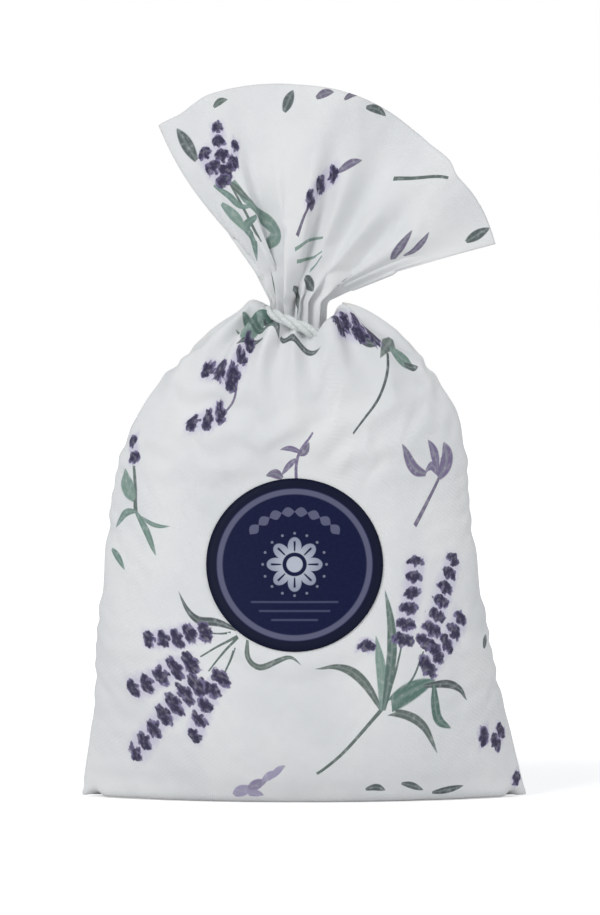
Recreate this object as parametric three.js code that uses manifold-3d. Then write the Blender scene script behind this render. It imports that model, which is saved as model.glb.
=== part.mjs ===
// A lavender sachet: a printed cotton pouch, filled with dried buds, standing on its base.
// The neck is drawn together by a tie, and the loose cloth above it fans out as a ruff.
// Millimetres, +Z up, the front faces -Y. The origin is the middle of the base.
import * as THREE from "three";
import { mergeVertices } from "three/addons/utils/BufferGeometryUtils.js";
import { RoundedBoxGeometry } from "three/addons/geometries/RoundedBoxGeometry.js";
import Module from "manifold-3d";

// Pouch
const BASE_WIDTH = 90; // from corner to corner, along the bottom seam
const BASE_DEPTH = 25; // of the part of the base that lies flat
const BELLY_HEIGHT = 15; // where the pouch is fullest
const BELLY_DEPTH = 39;
const SHOULDER_HEIGHT = 64; // where the sides turn in to the neck
const SHOULDER_WIDTH = 70;
const SHOULDER_DEPTH = 22;
const NECK_HEIGHT = 94; // where the collar under the tie starts
const COLLAR_DIAMETER = 11.5;
const SHOULDER_PUFF = 1.5; // how much higher the cloth stands at both sides of the neck
const SHOULDER_PLEATS = 12; // pleats that run from the neck over the shoulders
const PLEAT_DEPTH = 0.8;
const SWAY = -2; // how far the upper half of the pouch stands to one side
const SWAY_HEIGHT = 60; // where the sway is complete
const CLOTH = 0.8; // thickness of a panel
const CLEARANCE = 0.3; // between pieces that touch

// Inside
const THREAD_DIAMETER = 0.7;
const SEAM_HEIGHT = 84; // top of the side seams' threads above the base
const FILL_HEIGHT = 80; // top of the buds above the base
const FILL_CROWN = 6; // height of the rounded top of the buds

// Label
const LABEL_DIAMETER = 35;
const LABEL_THICKNESS = 0.4;
const LABEL_HEIGHT = 46; // of its centre above the base

// Tie
const TIE_DIAMETER = 2.2;
const TIE_SLANT = 12; // degrees, down to the right
const TIE_END_SPACE = 1.2; // between the two ends of the tie, where they enter the knot
const KNOT_WIDTH = 6.2;
const KNOT_DEPTH = 3.2;
const KNOT_HEIGHT = 3.6;
const KNOT_ROUNDING = 1.1;
const TAIL_LENGTH = 6; // of the trimmed ends below the knot

// Ruff
const RUFF_LENGTH = 42; // from the pivot in the neck to the free edge
const RUFF_SPREAD = 111; // degrees, from side seam to side seam
const RUFF_LEAN = 19; // degrees, to the right
const MOUTH_OPENING = 11; // between the front and the back of the ruff at the free edge
const THROAT_OPENING = 5; // the same, next to the neck
const FOLD_DEPTH = 2.4;
const FRONT_FOLDS = 3.5; // waves from seam to seam
const BACK_FOLDS = 2.5;
const GATHER_FLUTE = 0.5; // depth of the flutes of the gathered cloth in the neck

// Counts of facets
const RING_POINTS = 48;
const HEEL_RINGS = 4;
const FLANK_RINGS = 6;
const SHOULDER_RINGS = 9;
const CROWN_RINGS = 4;
const RUFF_COLUMNS = 40;
const RUFF_ROWS = 7;
const TUBE_SIDES = 6;
const LOOP_STEPS = 24;
const GATHER_SIDES = 24;

const wasm = await Module();
wasm.setup();

const { lerp, clamp, degToRad } = THREE.MathUtils;
const collarRadius = COLLAR_DIAMETER / 2;
const tieRadius = collarRadius + CLEARANCE + TIE_DIAMETER / 2;
const tieRise = tieRadius * Math.sin(degToRad(TIE_SLANT));
const collarHeight = TIE_DIAMETER + 2 * tieRise + 2 * CLEARANCE;
const pivotHeight = NECK_HEIGHT + collarHeight;
const gatherRadius = collarRadius - CLOTH - CLEARANCE;
const threadRoom = THREAD_DIAMETER / 2 + CLEARANCE;

// A closed mesh of points and of triangles of point numbers, with its faces pointing out.
function closedMesh(points, triangles) {
  let volume = 0;
  for (const [a, b, c] of triangles) {
    volume += points[a].dot(new THREE.Vector3().crossVectors(points[b], points[c]));
  }
  const facing = volume < 0 ? triangles.map(([a, b, c]) => [a, c, b]) : triangles;
  const geometry = new THREE.BufferGeometry().setFromPoints(points);
  geometry.setIndex(facing.flat());
  geometry.computeVertexNormals();
  return geometry;
}

function solidOf(geometry) {
  const plain = geometry.clone();
  plain.deleteAttribute("normal");
  plain.deleteAttribute("uv");
  const merged = mergeVertices(plain);
  return new wasm.Manifold(
    new wasm.Mesh({
      numProp: 3,
      vertProperties: new Float32Array(merged.attributes.position.array),
      triVerts: new Uint32Array(merged.index.array),
    }),
  );
}

function geometryOf(solid) {
  const mesh = solid.getMesh();
  const geometry = new THREE.BufferGeometry();
  geometry.setAttribute("position", new THREE.BufferAttribute(mesh.vertProperties, 3));
  geometry.setIndex(new THREE.BufferAttribute(mesh.triVerts, 1));
  geometry.computeVertexNormals();
  return geometry;
}

// A skin over rings of as many points each, closed at both ends.
function loft(rings) {
  const count = rings[0].length;
  const points = rings.flat();
  const triangles = [];
  for (let start = 0; start + count < points.length; start += count) {
    for (let k = 0; k < count; k++) {
      const a = start + k;
      const b = start + ((k + 1) % count);
      triangles.push([a, b, b + count], [a, b + count, a + count]);
    }
  }
  const ends = [rings[0].slice().reverse(), rings.at(-1)];
  for (const end of ends) {
    const middle = end.reduce((sum, p) => sum.addScaledVector(p, 1 / count), new THREE.Vector3());
    const hub = points.push(middle) - 1;
    end.forEach((p, k) => {
      triangles.push([points.indexOf(p), points.indexOf(end[(k + 1) % count]), hub]);
    });
  }
  return closedMesh(points, triangles);
}

// A sheet of even thickness about the surface place(u, v), with u and v from 0 to 1.
function thickSheet(place, columns, rows, thickness) {
  const step = 1e-3;
  const points = [];
  for (const side of [0.5, -0.5]) {
    for (let j = 0; j <= rows; j++) {
      for (let i = 0; i <= columns; i++) {
        const u = i / columns;
        const v = j / rows;
        const along = place(Math.min(u + step, 1), v).sub(place(Math.max(u - step, 0), v));
        const up = place(u, Math.min(v + step, 1)).sub(place(u, Math.max(v - step, 0)));
        const normal = along.cross(up).normalize();
        points.push(place(u, v).addScaledVector(normal, side * thickness));
      }
    }
  }
  const across = columns + 1;
  const layer = across * (rows + 1);
  const triangles = [];
  for (let j = 0; j < rows; j++) {
    for (let i = 0; i < columns; i++) {
      const a = j * across + i;
      const b = a + 1;
      const c = b + across;
      const d = a + across;
      triangles.push([a, b, c], [a, c, d]);
      triangles.push([layer + a, layer + c, layer + b], [layer + a, layer + d, layer + c]);
    }
  }
  const rim = [];
  for (let i = 0; i < columns; i++) rim.push(i);
  for (let j = 0; j < rows; j++) rim.push(j * across + columns);
  for (let i = columns; i > 0; i--) rim.push(rows * across + i);
  for (let j = rows; j > 0; j--) rim.push(j * across);
  rim.forEach((a, k) => {
    const b = rim[(k + 1) % rim.length];
    triangles.push([a, layer + a, layer + b], [a, layer + b, b]);
  });
  return closedMesh(points, triangles);
}

function tube(curve, steps, diameter) {
  const circle = new THREE.EllipseCurve(0, 0, diameter / 2, diameter / 2);
  const section = new THREE.Shape(circle.getPoints(TUBE_SIDES).slice(0, -1));
  return new THREE.ExtrudeGeometry(section, { steps, extrudePath: curve, bevelEnabled: false });
}

// Half the width of the pouch below the shoulders: the sides lean in, and bow slightly.
function flankHalfWidth(z) {
  const bow = 1.35;
  const flare = (BASE_WIDTH - SHOULDER_WIDTH) / 2;
  return SHOULDER_WIDTH / 2 + flare * Math.pow(1 - Math.max(z, 0) / SHOULDER_HEIGHT, bow);
}

// Half the depth between the belly and the shoulders: the buds have settled to the bottom.
function flankHalfDepth(z) {
  const rise = (z - BELLY_HEIGHT) / (SHOULDER_HEIGHT - BELLY_HEIGHT);
  const settled = (1 + Math.cos(Math.PI * rise)) / 2;
  return lerp(SHOULDER_DEPTH, BELLY_DEPTH, settled) / 2;
}

function sway(z) {
  return SWAY * Math.sin((Math.PI / 2) * clamp(z / SWAY_HEIGHT, 0, 1));
}

// The size of the pouch at one height, on a skin that lies inside its outside by inset.
// The side seams hold more layers of cloth, so the skin is inset twice as far there.
function station(z, inset) {
  if (z <= BELLY_HEIGHT) {
    const up = (BELLY_HEIGHT - z) / (BELLY_HEIGHT - inset);
    const swell = (BELLY_DEPTH - BASE_DEPTH) / 2 - inset;
    const d = BASE_DEPTH / 2 + swell * Math.sqrt(Math.max(0, 1 - up * up));
    return { z, w: flankHalfWidth(z) - 2 * inset, d, collar: 0, loose: 0 };
  }
  if (z <= SHOULDER_HEIGHT) {
    return { z, w: flankHalfWidth(z) - 2 * inset, d: flankHalfDepth(z) - inset, collar: 0, loose: 0 };
  }
  const up = Math.min(1, (z - SHOULDER_HEIGHT) / (NECK_HEIGHT - inset - SHOULDER_HEIGHT));
  const out = Math.sqrt(1 - up * up);
  const pressed = (tieRadius + TIE_DIAMETER / 2 - collarRadius) / (SHOULDER_WIDTH / 2 - collarRadius);
  const free = clamp((out - pressed) / (1 - pressed), 0, 1);
  return {
    z,
    w: lerp(collarRadius - inset, SHOULDER_WIDTH / 2 - 2 * inset, out),
    d: lerp(collarRadius - inset, SHOULDER_DEPTH / 2 - inset, out),
    collar: 1 - out,
    loose: Math.sin(Math.PI * free),
  };
}

// Heights of the rings, closer together where the pouch turns.
function ringHeights(inset) {
  const heights = [];
  for (let k = 0; k < HEEL_RINGS; k++) {
    heights.push(BELLY_HEIGHT - (BELLY_HEIGHT - inset) * Math.cos((Math.PI / 2) * (k / HEEL_RINGS)));
  }
  for (let k = 0; k < FLANK_RINGS; k++) {
    heights.push(lerp(BELLY_HEIGHT, SHOULDER_HEIGHT, k / FLANK_RINGS));
  }
  for (let k = 0; k <= SHOULDER_RINGS; k++) {
    const rise = NECK_HEIGHT - inset - SHOULDER_HEIGHT;
    heights.push(SHOULDER_HEIGHT + rise * Math.sin((Math.PI / 2) * (k / SHOULDER_RINGS)));
  }
  return heights;
}

// The cross-section: pointed at the seams near the base, oval above, round at the collar.
function ring({ z, w, d, collar, loose }) {
  const eared = Math.max(0, 1 - z / (2 * BELLY_HEIGHT));
  const pointed = lerp(lerp(0.62, 1, eared), 0.5, collar);
  const full = lerp(2.2, 2, collar);
  const points = [];
  for (let k = 0; k < RING_POINTS; k++) {
    const turn = (2 * Math.PI * k) / RING_POINTS;
    const along = Math.cos(turn);
    const rest = Math.max(0, 1 - Math.pow(Math.abs(along), full));
    const across = k % (RING_POINTS / 2) === 0 ? 0 : Math.sign(Math.sin(turn)) * Math.pow(rest, pointed);
    const outward = new THREE.Vector2(along / w, across / d).normalize();
    const pleat = PLEAT_DEPTH * loose * Math.cos(SHOULDER_PLEATS * turn);
    const puff = SHOULDER_PUFF * loose * along * along;
    const x = sway(z) + w * along + pleat * outward.x;
    points.push(new THREE.Vector3(x, d * across + pleat * outward.y, z + puff));
  }
  return points;
}

// The whole pouch up to the top of the collar, on a skin that lies inside its outside by inset.
function pouchSolid(inset, collarTop) {
  const rings = ringHeights(inset).map((z) => ring(station(z, inset)));
  const topRing = rings.at(-1).map((p) => new THREE.Vector3(p.x, p.y, collarTop));
  return solidOf(loft([...rings, topRing]));
}

// A panel is one half of the pouch's skin. The two panels meet at the seams.
function panelGeometry(side) {
  const skin = pouchSolid(0, pivotHeight).subtract(pouchSolid(CLOTH, pivotHeight + CLOTH));
  const reach = 2 * (BASE_WIDTH + BELLY_DEPTH + pivotHeight);
  const half = new THREE.BoxGeometry(reach, reach, reach);
  half.translate(0, side * (reach + CLEARANCE) / 2, 0);
  return geometryOf(skin.intersect(solidOf(half)));
}

// How far from the middle a thread lies in the fold of a side seam, as deep as it fits.
function seamReach(z) {
  const wall = ring(station(z, CLOTH)).map((p) => new THREE.Vector3(p.x - sway(z), p.y, 0));
  const edges = wall.map((p, k) => new THREE.Line3(p, wall[(k + 1) % wall.length]));
  const place = new THREE.Vector3(wall[0].x - threadRoom, 0, 0);
  const nearest = new THREE.Vector3();
  const gapTo = (edge) => edge.closestPointToPoint(place, true, nearest).distanceTo(place);
  const fits = () => edges.every((edge) => gapTo(edge) >= threadRoom);
  while (place.x > 0 && !fits()) place.x -= THREAD_DIAMETER / 20;
  return place.x;
}

function sideThreadGeometry(side) {
  const start = CLOTH + 2 * CLEARANCE + 1.5 * THREAD_DIAMETER;
  const points = [];
  for (let k = 0; k <= LOOP_STEPS; k++) {
    const z = lerp(start, SEAM_HEIGHT, k / LOOP_STEPS);
    const puff = SHOULDER_PUFF * station(z, CLOTH).loose;
    points.push(new THREE.Vector3(sway(z) + side * seamReach(z), 0, z + puff));
  }
  return tube(new THREE.CatmullRomCurve3(points), LOOP_STEPS, THREAD_DIAMETER);
}

function bottomThreadGeometry() {
  const z = CLOTH + threadRoom;
  const reach = seamReach(z);
  const line = new THREE.LineCurve3(new THREE.Vector3(-reach, 0, z), new THREE.Vector3(reach, 0, z));
  return tube(line, 1, THREAD_DIAMETER);
}

// The buds fill the pouch to the shoulders, with a groove for the thread of the bottom seam.
function fillGeometry() {
  const inset = CLOTH + CLEARANCE;
  const crownStart = FILL_HEIGHT - FILL_CROWN;
  const body = (z) => ({ ...station(z, inset), w: seamReach(z) - threadRoom, loose: 0 });
  const heights = ringHeights(inset).filter((z) => z < crownStart);
  const rings = heights.map((z) => ring(body(z)));
  for (let k = 0; k < CROWN_RINGS; k++) {
    const turn = (Math.PI / 2) * (k / CROWN_RINGS);
    const { w, d, ...rest } = body(crownStart);
    const top = { ...rest, w: w * Math.cos(turn), d: d * Math.cos(turn) };
    rings.push(ring(top).map((p) => p.setZ(crownStart + FILL_CROWN * Math.sin(turn))));
  }
  const grooveTop = CLOTH + 2 * CLEARANCE + THREAD_DIAMETER;
  const groove = new THREE.BoxGeometry(2 * BASE_WIDTH, 2 * threadRoom, 2 * grooveTop);
  return geometryOf(solidOf(loft(rings)).subtract(solidOf(groove)));
}

// The label is a paper disc, bent to the front of the pouch.
function labelGeometry() {
  const outside = -CLEARANCE - LABEL_THICKNESS;
  const layer = pouchSolid(outside, pivotHeight).subtract(pouchSolid(-CLEARANCE, pivotHeight + CLOTH));
  const slope = flankHalfDepth(LABEL_HEIGHT - 0.5) - flankHalfDepth(LABEL_HEIGHT + 0.5);
  const radius = LABEL_DIAMETER / 2;
  const cutter = new THREE.CylinderGeometry(radius, radius, BELLY_DEPTH / 2, RING_POINTS);
  cutter.rotateX(-Math.atan(slope));
  cutter.translate(sway(LABEL_HEIGHT), -flankHalfDepth(LABEL_HEIGHT), LABEL_HEIGHT);
  return geometryOf(layer.intersect(solidOf(cutter)));
}

// The tie goes once round the collar, in its own plane, and both ends run back into the knot.
const tieEndReach = (TIE_DIAMETER + TIE_END_SPACE) / 2;
const tieEndStart = tieRadius + TIE_DIAMETER / 2;
const tieEndStop = tieEndStart + TIE_DIAMETER;

function tieCurve() {
  const opening = 2 * Math.asin(tieEndReach / tieRadius) + degToRad(10);
  const end = (side, y) => new THREE.Vector3(side * tieEndReach, y, 0);
  const points = [end(-1, tieEndStop), end(-1, tieEndStart)];
  for (let k = 0; k <= LOOP_STEPS; k++) {
    const turn = Math.PI / 2 + lerp(opening, 2 * Math.PI - opening, k / LOOP_STEPS);
    points.push(new THREE.Vector3(tieRadius * Math.cos(turn), tieRadius * Math.sin(turn), 0));
  }
  points.push(end(1, tieEndStart), end(1, tieEndStop));
  return new THREE.CatmullRomCurve3(points);
}

// The least gap between stretches of the tie that aren't neighbours along it.
function leastGap(curve, diameter) {
  const places = curve.getSpacedPoints(200);
  const apart = Math.ceil((3 * diameter) / (curve.getLength() / 200));
  let least = Infinity;
  places.forEach((p, i) => {
    for (let j = i + apart; j < places.length; j++) least = Math.min(least, p.distanceTo(places[j]));
  });
  return least - diameter;
}

function knotGeometry() {
  const knot = new RoundedBoxGeometry(KNOT_WIDTH, KNOT_DEPTH, KNOT_HEIGHT, 2, KNOT_ROUNDING);
  let solid = solidOf(knot);
  for (const side of [-1, 1]) {
    const length = KNOT_HEIGHT / 2 + TAIL_LENGTH;
    const tail = new THREE.CylinderGeometry(TIE_DIAMETER / 2, TIE_DIAMETER / 2, length, TUBE_SIDES);
    tail.rotateX(Math.PI / 2);
    tail.translate(side * tieEndReach, 0, -length / 2);
    solid = solid.add(solidOf(tail));
  }
  return geometryOf(solid);
}

// The gathered cloth in the neck, a fluted ball that the ruff turns about.
function gatherGeometry() {
  const ball = new THREE.SphereGeometry(gatherRadius, GATHER_SIDES, GATHER_SIDES / 2);
  const places = ball.attributes.position;
  for (let k = 0; k < places.count; k++) {
    if ((k % (GATHER_SIDES + 1)) % 2 === 1) {
      const p = new THREE.Vector3().fromBufferAttribute(places, k);
      const girth = Math.hypot(p.x, p.z) / gatherRadius;
      p.multiplyScalar(1 - (GATHER_FLUTE * girth) / gatherRadius);
      places.setXYZ(k, p.x, p.y, p.z);
    }
  }
  return geometryOf(solidOf(ball.rotateX(Math.PI / 2)));
}

// One side of the ruff: a fan of cloth about the pivot, waved by its folds.
function ruffGeometry(side, folds, shift) {
  const throat = gatherRadius + CLEARANCE;
  const place = (u, v) => {
    const across = 2 * u - 1;
    const turn = degToRad(RUFF_SPREAD / 2) * across;
    const radius = lerp(throat, RUFF_LENGTH, v);
    const open = lerp(THROAT_OPENING, MOUTH_OPENING, v) / 2;
    const fold = FOLD_DEPTH * v * Math.cos(2 * Math.PI * folds * (u + shift));
    const depth = (CLOTH + CLEARANCE) / 2 + (1 - across * across) * (open + fold);
    return new THREE.Vector3(radius * Math.sin(turn), side * depth, radius * Math.cos(turn));
  };
  return thickSheet(place, RUFF_COLUMNS, RUFF_ROWS, CLOTH);
}

function piece(name, geometry, colour, roughness) {
  const material = new THREE.MeshStandardMaterial({ color: colour, roughness, metalness: 0 });
  const mesh = new THREE.Mesh(geometry, material);
  mesh.name = name;
  return mesh;
}

const COTTON = 0xdcdde0;
const THREAD = 0xf2f1ec;
const CORD = 0xd3dad6;
const PAPER = 0x1c2144;
const BUDS = 0x6a6488;
const FRONT = -1;
const BACK = 1;

const sachet = new THREE.Group();
sachet.add(
  piece("front_panel", panelGeometry(FRONT), COTTON, 0.9),
  piece("back_panel", panelGeometry(BACK), COTTON, 0.9),
  piece("left_seam_thread", sideThreadGeometry(-1), THREAD, 0.8),
  piece("right_seam_thread", sideThreadGeometry(1), THREAD, 0.8),
  piece("bottom_seam_thread", bottomThreadGeometry(), THREAD, 0.8),
  piece("lavender_fill", fillGeometry(), BUDS, 1),
  piece("label", labelGeometry(), PAPER, 0.55),
);

const tie = new THREE.Group();
tie.position.set(sway(NECK_HEIGHT), 0, NECK_HEIGHT + collarHeight / 2);
tie.rotation.y = degToRad(TIE_SLANT);
const tieRoute = tieCurve();
tie.add(piece("neck_tie", tube(tieRoute, LOOP_STEPS + 8, TIE_DIAMETER), CORD, 0.85));
const knot = piece("tie_knot", knotGeometry(), CORD, 0.85);
knot.position.y = tieEndStop + CLEARANCE + KNOT_DEPTH / 2;
tie.add(knot);
sachet.add(tie);
console.log(`neck_tie: least gap to itself ${leastGap(tieRoute, TIE_DIAMETER).toFixed(2)} mm`);

const neck = new THREE.Group();
neck.position.set(sway(NECK_HEIGHT), 0, pivotHeight);
neck.add(piece("neck_gather", gatherGeometry(), COTTON, 0.9));
const ruff = new THREE.Group();
ruff.rotation.y = degToRad(RUFF_LEAN);
ruff.add(piece("ruff_front", ruffGeometry(FRONT, FRONT_FOLDS, 0.1), COTTON, 0.9));
ruff.add(piece("ruff_back", ruffGeometry(BACK, BACK_FOLDS, 0.3), COTTON, 0.9));
neck.add(ruff);
sachet.add(neck);

export default sachet;
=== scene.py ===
import math

import bmesh
import bpy
import numpy as np
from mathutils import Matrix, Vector
from mathutils.bvhtree import BVHTree


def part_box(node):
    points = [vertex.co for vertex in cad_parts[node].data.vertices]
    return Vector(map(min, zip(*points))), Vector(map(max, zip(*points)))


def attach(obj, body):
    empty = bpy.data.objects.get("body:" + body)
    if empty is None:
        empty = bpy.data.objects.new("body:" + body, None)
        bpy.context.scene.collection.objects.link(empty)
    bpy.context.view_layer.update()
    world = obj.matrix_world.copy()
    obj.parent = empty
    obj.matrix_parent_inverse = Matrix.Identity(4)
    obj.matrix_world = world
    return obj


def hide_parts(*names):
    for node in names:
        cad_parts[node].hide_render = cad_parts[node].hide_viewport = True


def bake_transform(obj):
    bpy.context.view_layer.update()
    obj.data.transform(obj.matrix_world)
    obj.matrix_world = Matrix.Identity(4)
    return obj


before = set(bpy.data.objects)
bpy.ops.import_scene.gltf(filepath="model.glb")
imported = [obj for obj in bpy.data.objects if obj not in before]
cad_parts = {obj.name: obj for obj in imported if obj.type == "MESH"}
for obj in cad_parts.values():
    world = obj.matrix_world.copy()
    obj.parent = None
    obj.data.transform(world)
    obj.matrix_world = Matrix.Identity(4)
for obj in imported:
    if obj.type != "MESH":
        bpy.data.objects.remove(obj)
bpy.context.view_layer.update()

# Bag cloth
# One width of white cotton, sewn up both sides and along the bottom, filled, drawn together at the neck
# and let out again above the tie. It is simulated here as one cloth, and parted at the neck afterwards.
MM = 0.001
COLUMNS = 144
BODY_ROWS = 92
NECK_ROWS = 4
RUFF_ROWS = 34
CLOTH_WIDTH = 0.190
CLOTH_LENGTH = 0.158
SIM_SCALE = 20.0
SETTLING_FRAMES = 25
LIMP_COTTON = {
    "quality": 6,
    "mass": 0.15,
    "air_damping": 3,
    "tension_stiffness": 25,
    "compression_stiffness": 25,
    "shear_stiffness": 10,
    "bending_stiffness": 0.8,
    "tension_damping": 10,
    "compression_damping": 10,
    "shear_damping": 10,
    "bending_damping": 0.5,
    "pin_stiffness": 1.0,
    "shrink_min": -0.05,
    "shrink_max": 0.0,
}
chance = np.random.default_rng(4)

# the filled bag, in millimetres
BASE_HALF_WIDTH = 44.8
BASE_HALF_DEPTH = 12.5
BELLY_HEIGHT = 15.0
BELLY_HALF_DEPTH = 19.3
SHOULDER_HEIGHT = 64.0
SHOULDER_HALF_WIDTH = 35.2
SHOULDER_HALF_DEPTH = 11.2
SHOULDER_ROUNDING = 1.9
SIDE_TAPER = 1.35
SIDE_FULLNESS = 0.62
SIDE_SQUARENESS = 2.2
NECK_FULLNESS = 0.5
NECK_SQUARENESS = 2.0
NECK_TOP = 98.0
NECK_RADIUS = 5.6
NECK_X = -1.4
SWAY = -2.0


def ease(value, start, end):
    """0 before start, 1 after end, and smooth between them."""
    share = np.clip((value - start) / (end - start), 0, 1)
    return share * share * (3 - 2 * share)


def swell(value, middle, reach):
    """1 at the middle, and fading out on both sides of it over that reach."""
    return np.exp(-(((value - middle) / reach) ** 2))


def way_along(line):
    """How far each point of a line lies along it."""
    return np.concatenate([[0], np.cumsum(np.linalg.norm(np.diff(line, axis=0), axis=1))])


def spaced(line, count):
    """A line of points laid out again as count points, evenly spaced along it."""
    way = way_along(line)
    wanted = np.linspace(0, way[-1], count)
    return np.stack([np.interp(wanted, way, line[:, k]) for k in range(3)], axis=1)


def filled_bag():
    """Rows of points of the filled bag, from the bottom seam up to the neck, in millimetres."""
    under = np.linspace(0, 1, 16)
    heel = np.linspace(0, math.pi / 2, 24)[1:]
    flank = np.linspace(0, 1, 40)[1:]
    turn = np.linspace(0, math.pi / 2, 60)[1:]
    out = np.cos(turn).clip(0) ** (2 / SHOULDER_ROUNDING)
    up = np.sin(turn) ** (2 / SHOULDER_ROUNDING)
    slimming = (1 + np.cos(math.pi * flank)) / 2
    height = np.concatenate([
        0 * under,
        BELLY_HEIGHT * (1 - np.cos(heel)),
        BELLY_HEIGHT + (SHOULDER_HEIGHT - BELLY_HEIGHT) * flank,
        SHOULDER_HEIGHT + (NECK_TOP - SHOULDER_HEIGHT) * up,
    ])
    depth = np.concatenate([
        BASE_HALF_DEPTH * under,
        BASE_HALF_DEPTH + (BELLY_HALF_DEPTH - BASE_HALF_DEPTH) * np.sin(heel),
        SHOULDER_HALF_DEPTH + (BELLY_HALF_DEPTH - SHOULDER_HALF_DEPTH) * slimming,
        NECK_RADIUS + (SHOULDER_HALF_DEPTH - NECK_RADIUS) * out,
    ])
    low = height[: -len(turn)]
    taper = np.clip(1 - low / SHOULDER_HEIGHT, 0, 1) ** SIDE_TAPER
    width = np.concatenate([
        SHOULDER_HALF_WIDTH + (BASE_HALF_WIDTH - SHOULDER_HALF_WIDTH) * taper,
        NECK_RADIUS + (SHOULDER_HALF_WIDTH - NECK_RADIUS) * out,
    ])
    gathered = np.concatenate([0 * low, 1 - out])
    eared = np.clip(1 - height / (2 * BELLY_HEIGHT), 0, 1)
    fullness = (SIDE_FULLNESS + (1 - SIDE_FULLNESS) * eared) * (1 - gathered) + NECK_FULLNESS * gathered
    squareness = SIDE_SQUARENESS * (1 - gathered) + NECK_SQUARENESS * gathered
    sway = SWAY * np.sin(math.pi / 2 * np.clip(height / 60, 0, 1))
    sway += (NECK_X - SWAY) * ease(height, 80, NECK_TOP)
    across = -np.cos(np.linspace(0, math.pi, 201))
    half = COLUMNS // 2
    rings = []
    for k in range(len(height)):
        bulge = depth[k] * (1 - np.abs(across) ** squareness[k]).clip(0) ** fullness[k]
        level = np.full(len(across), height[k])
        front = np.stack([width[k] * across + sway[k], -bulge, level], axis=1)
        back = np.stack([-width[k] * across + sway[k], bulge, level], axis=1)
        rings.append(np.concatenate([spaced(front, half + 1)[:-1], spaced(back, half + 1)[:-1]]))
    rings = np.array(rings)
    return np.stack([spaced(rings[:, k], BODY_ROWS) for k in range(COLUMNS)], axis=1)


def outward(rows):
    """Unit normals of rows of points that close round the bag."""
    around = np.roll(rows, -1, axis=1) - np.roll(rows, 1, axis=1)
    normal = np.cross(around, np.gradient(rows, axis=0))
    return normal / (np.linalg.norm(normal, axis=2)[:, :, None] + 1e-9)


# the gathered shoulders and the puckered side seams
PLEATS = 15
PLEAT_DEPTH = 3.0
PLEAT_TWIST = 0.9
PUCKER_DEPTH = 0.3
PUCKER_REACH = 3.5
SEAM_DIP = 0.4
SEAM_DIP_REACH = 1.2
LEFT_SLACK = 1.5
LEFT_DRAWN_IN = 2.2
round_bag = np.arange(COLUMNS) / COLUMNS
round_angle = math.pi + 2 * math.pi * round_bag
wander = sum(0.02 / k * np.cos(2 * math.pi * (k * round_bag + chance.random())) for k in (1, 2, 3, 5))
pleat_turn = 2 * math.pi * PLEATS * (round_bag + wander)
pleat_size = np.cos(2 * math.pi * (4 * round_bag + 0.3)) * np.cos(2 * math.pi * (3 * round_bag + 0.1))
pleat_size = 0.75 + 0.35 * pleat_size
share_up = np.linspace(0, 1, BODY_ROWS)[:, None]
pleat_depth = PLEAT_DEPTH * ease(share_up, 0.70, 1.0) ** 2 * (1 - 0.4 * ease(share_up, 0.9, 1.0))
pleat_wave = np.cos(pleat_turn + PLEAT_TWIST * ease(share_up, 0.8, 1.0)) * pleat_size
seam_gap = np.minimum.reduce([round_bag, np.abs(round_bag - 0.5), 1 - round_bag]) * CLOTH_WIDTH / MM
pucker_turn = 2 * math.pi * (share_up * 19 + 0.6 * np.sin(share_up * 23))
puckers = PUCKER_DEPTH * np.cos(pucker_turn) * swell(seam_gap, 0, PUCKER_REACH)
puckers = puckers - SEAM_DIP * swell(seam_gap, 0, SEAM_DIP_REACH)
puckers = puckers * ease(share_up, 0.12, 0.2) * (1 - ease(share_up, 0.8, 0.9))
bag = filled_bag()
left_side = np.clip((NECK_X - bag[:, :, 0]) / 15, 0, 1)
slack = ease(bag[:, :, 2], 15, 35) * (1 - ease(bag[:, :, 2], 58, 72))
drawn_in = ease(bag[:, :, 2], 70, 80) * (1 - ease(bag[:, :, 2], 96, 101))
bag[:, :, 0] += left_side * (LEFT_DRAWN_IN * drawn_in - LEFT_SLACK * slack)
bag = bag + outward(bag) * (pleat_depth * (pleat_wave - 0.35) + puckers)[:, :, None]

# the slant of the tie, the dip of the cloth under it in front, and the puff beside it on the right
TIE_HEIGHT = 94.4
TIE_SLANT = math.radians(24)
DIP_DEPTH = 2.4
DIP_REACH = 7.0
PUFF_HEIGHT = 3.7
PUFF_X = 6.5
PUFF_REACH = 3.4
bag[:, :, 2] -= (bag[:, :, 0] - NECK_X) * math.tan(TIE_SLANT) * ease(share_up, 0.93, 1.0)
bag[:, :, 2] -= (NECK_TOP - TIE_HEIGHT) * ease(share_up, 0.95, 1.0)
dip = swell(bag[:, :, 0], NECK_X, DIP_REACH) * ease(-bag[:, :, 1], 1, 6)
bag[:, :, 2] -= DIP_DEPTH * dip * ease(share_up, 0.84, 0.94) * (1 - ease(share_up, 0.97, 1.0))
puff = swell(bag[:, :, 0], PUFF_X, PUFF_REACH) * ease(-bag[:, :, 1], -5, 0)
bag[:, :, 2] += PUFF_HEIGHT * puff * ease(share_up, 0.86, 0.94) * (1 - ease(share_up, 0.965, 1.0))
bag = np.stack([spaced(bag[:, k], BODY_ROWS) for k in range(COLUMNS)], axis=1)

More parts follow.
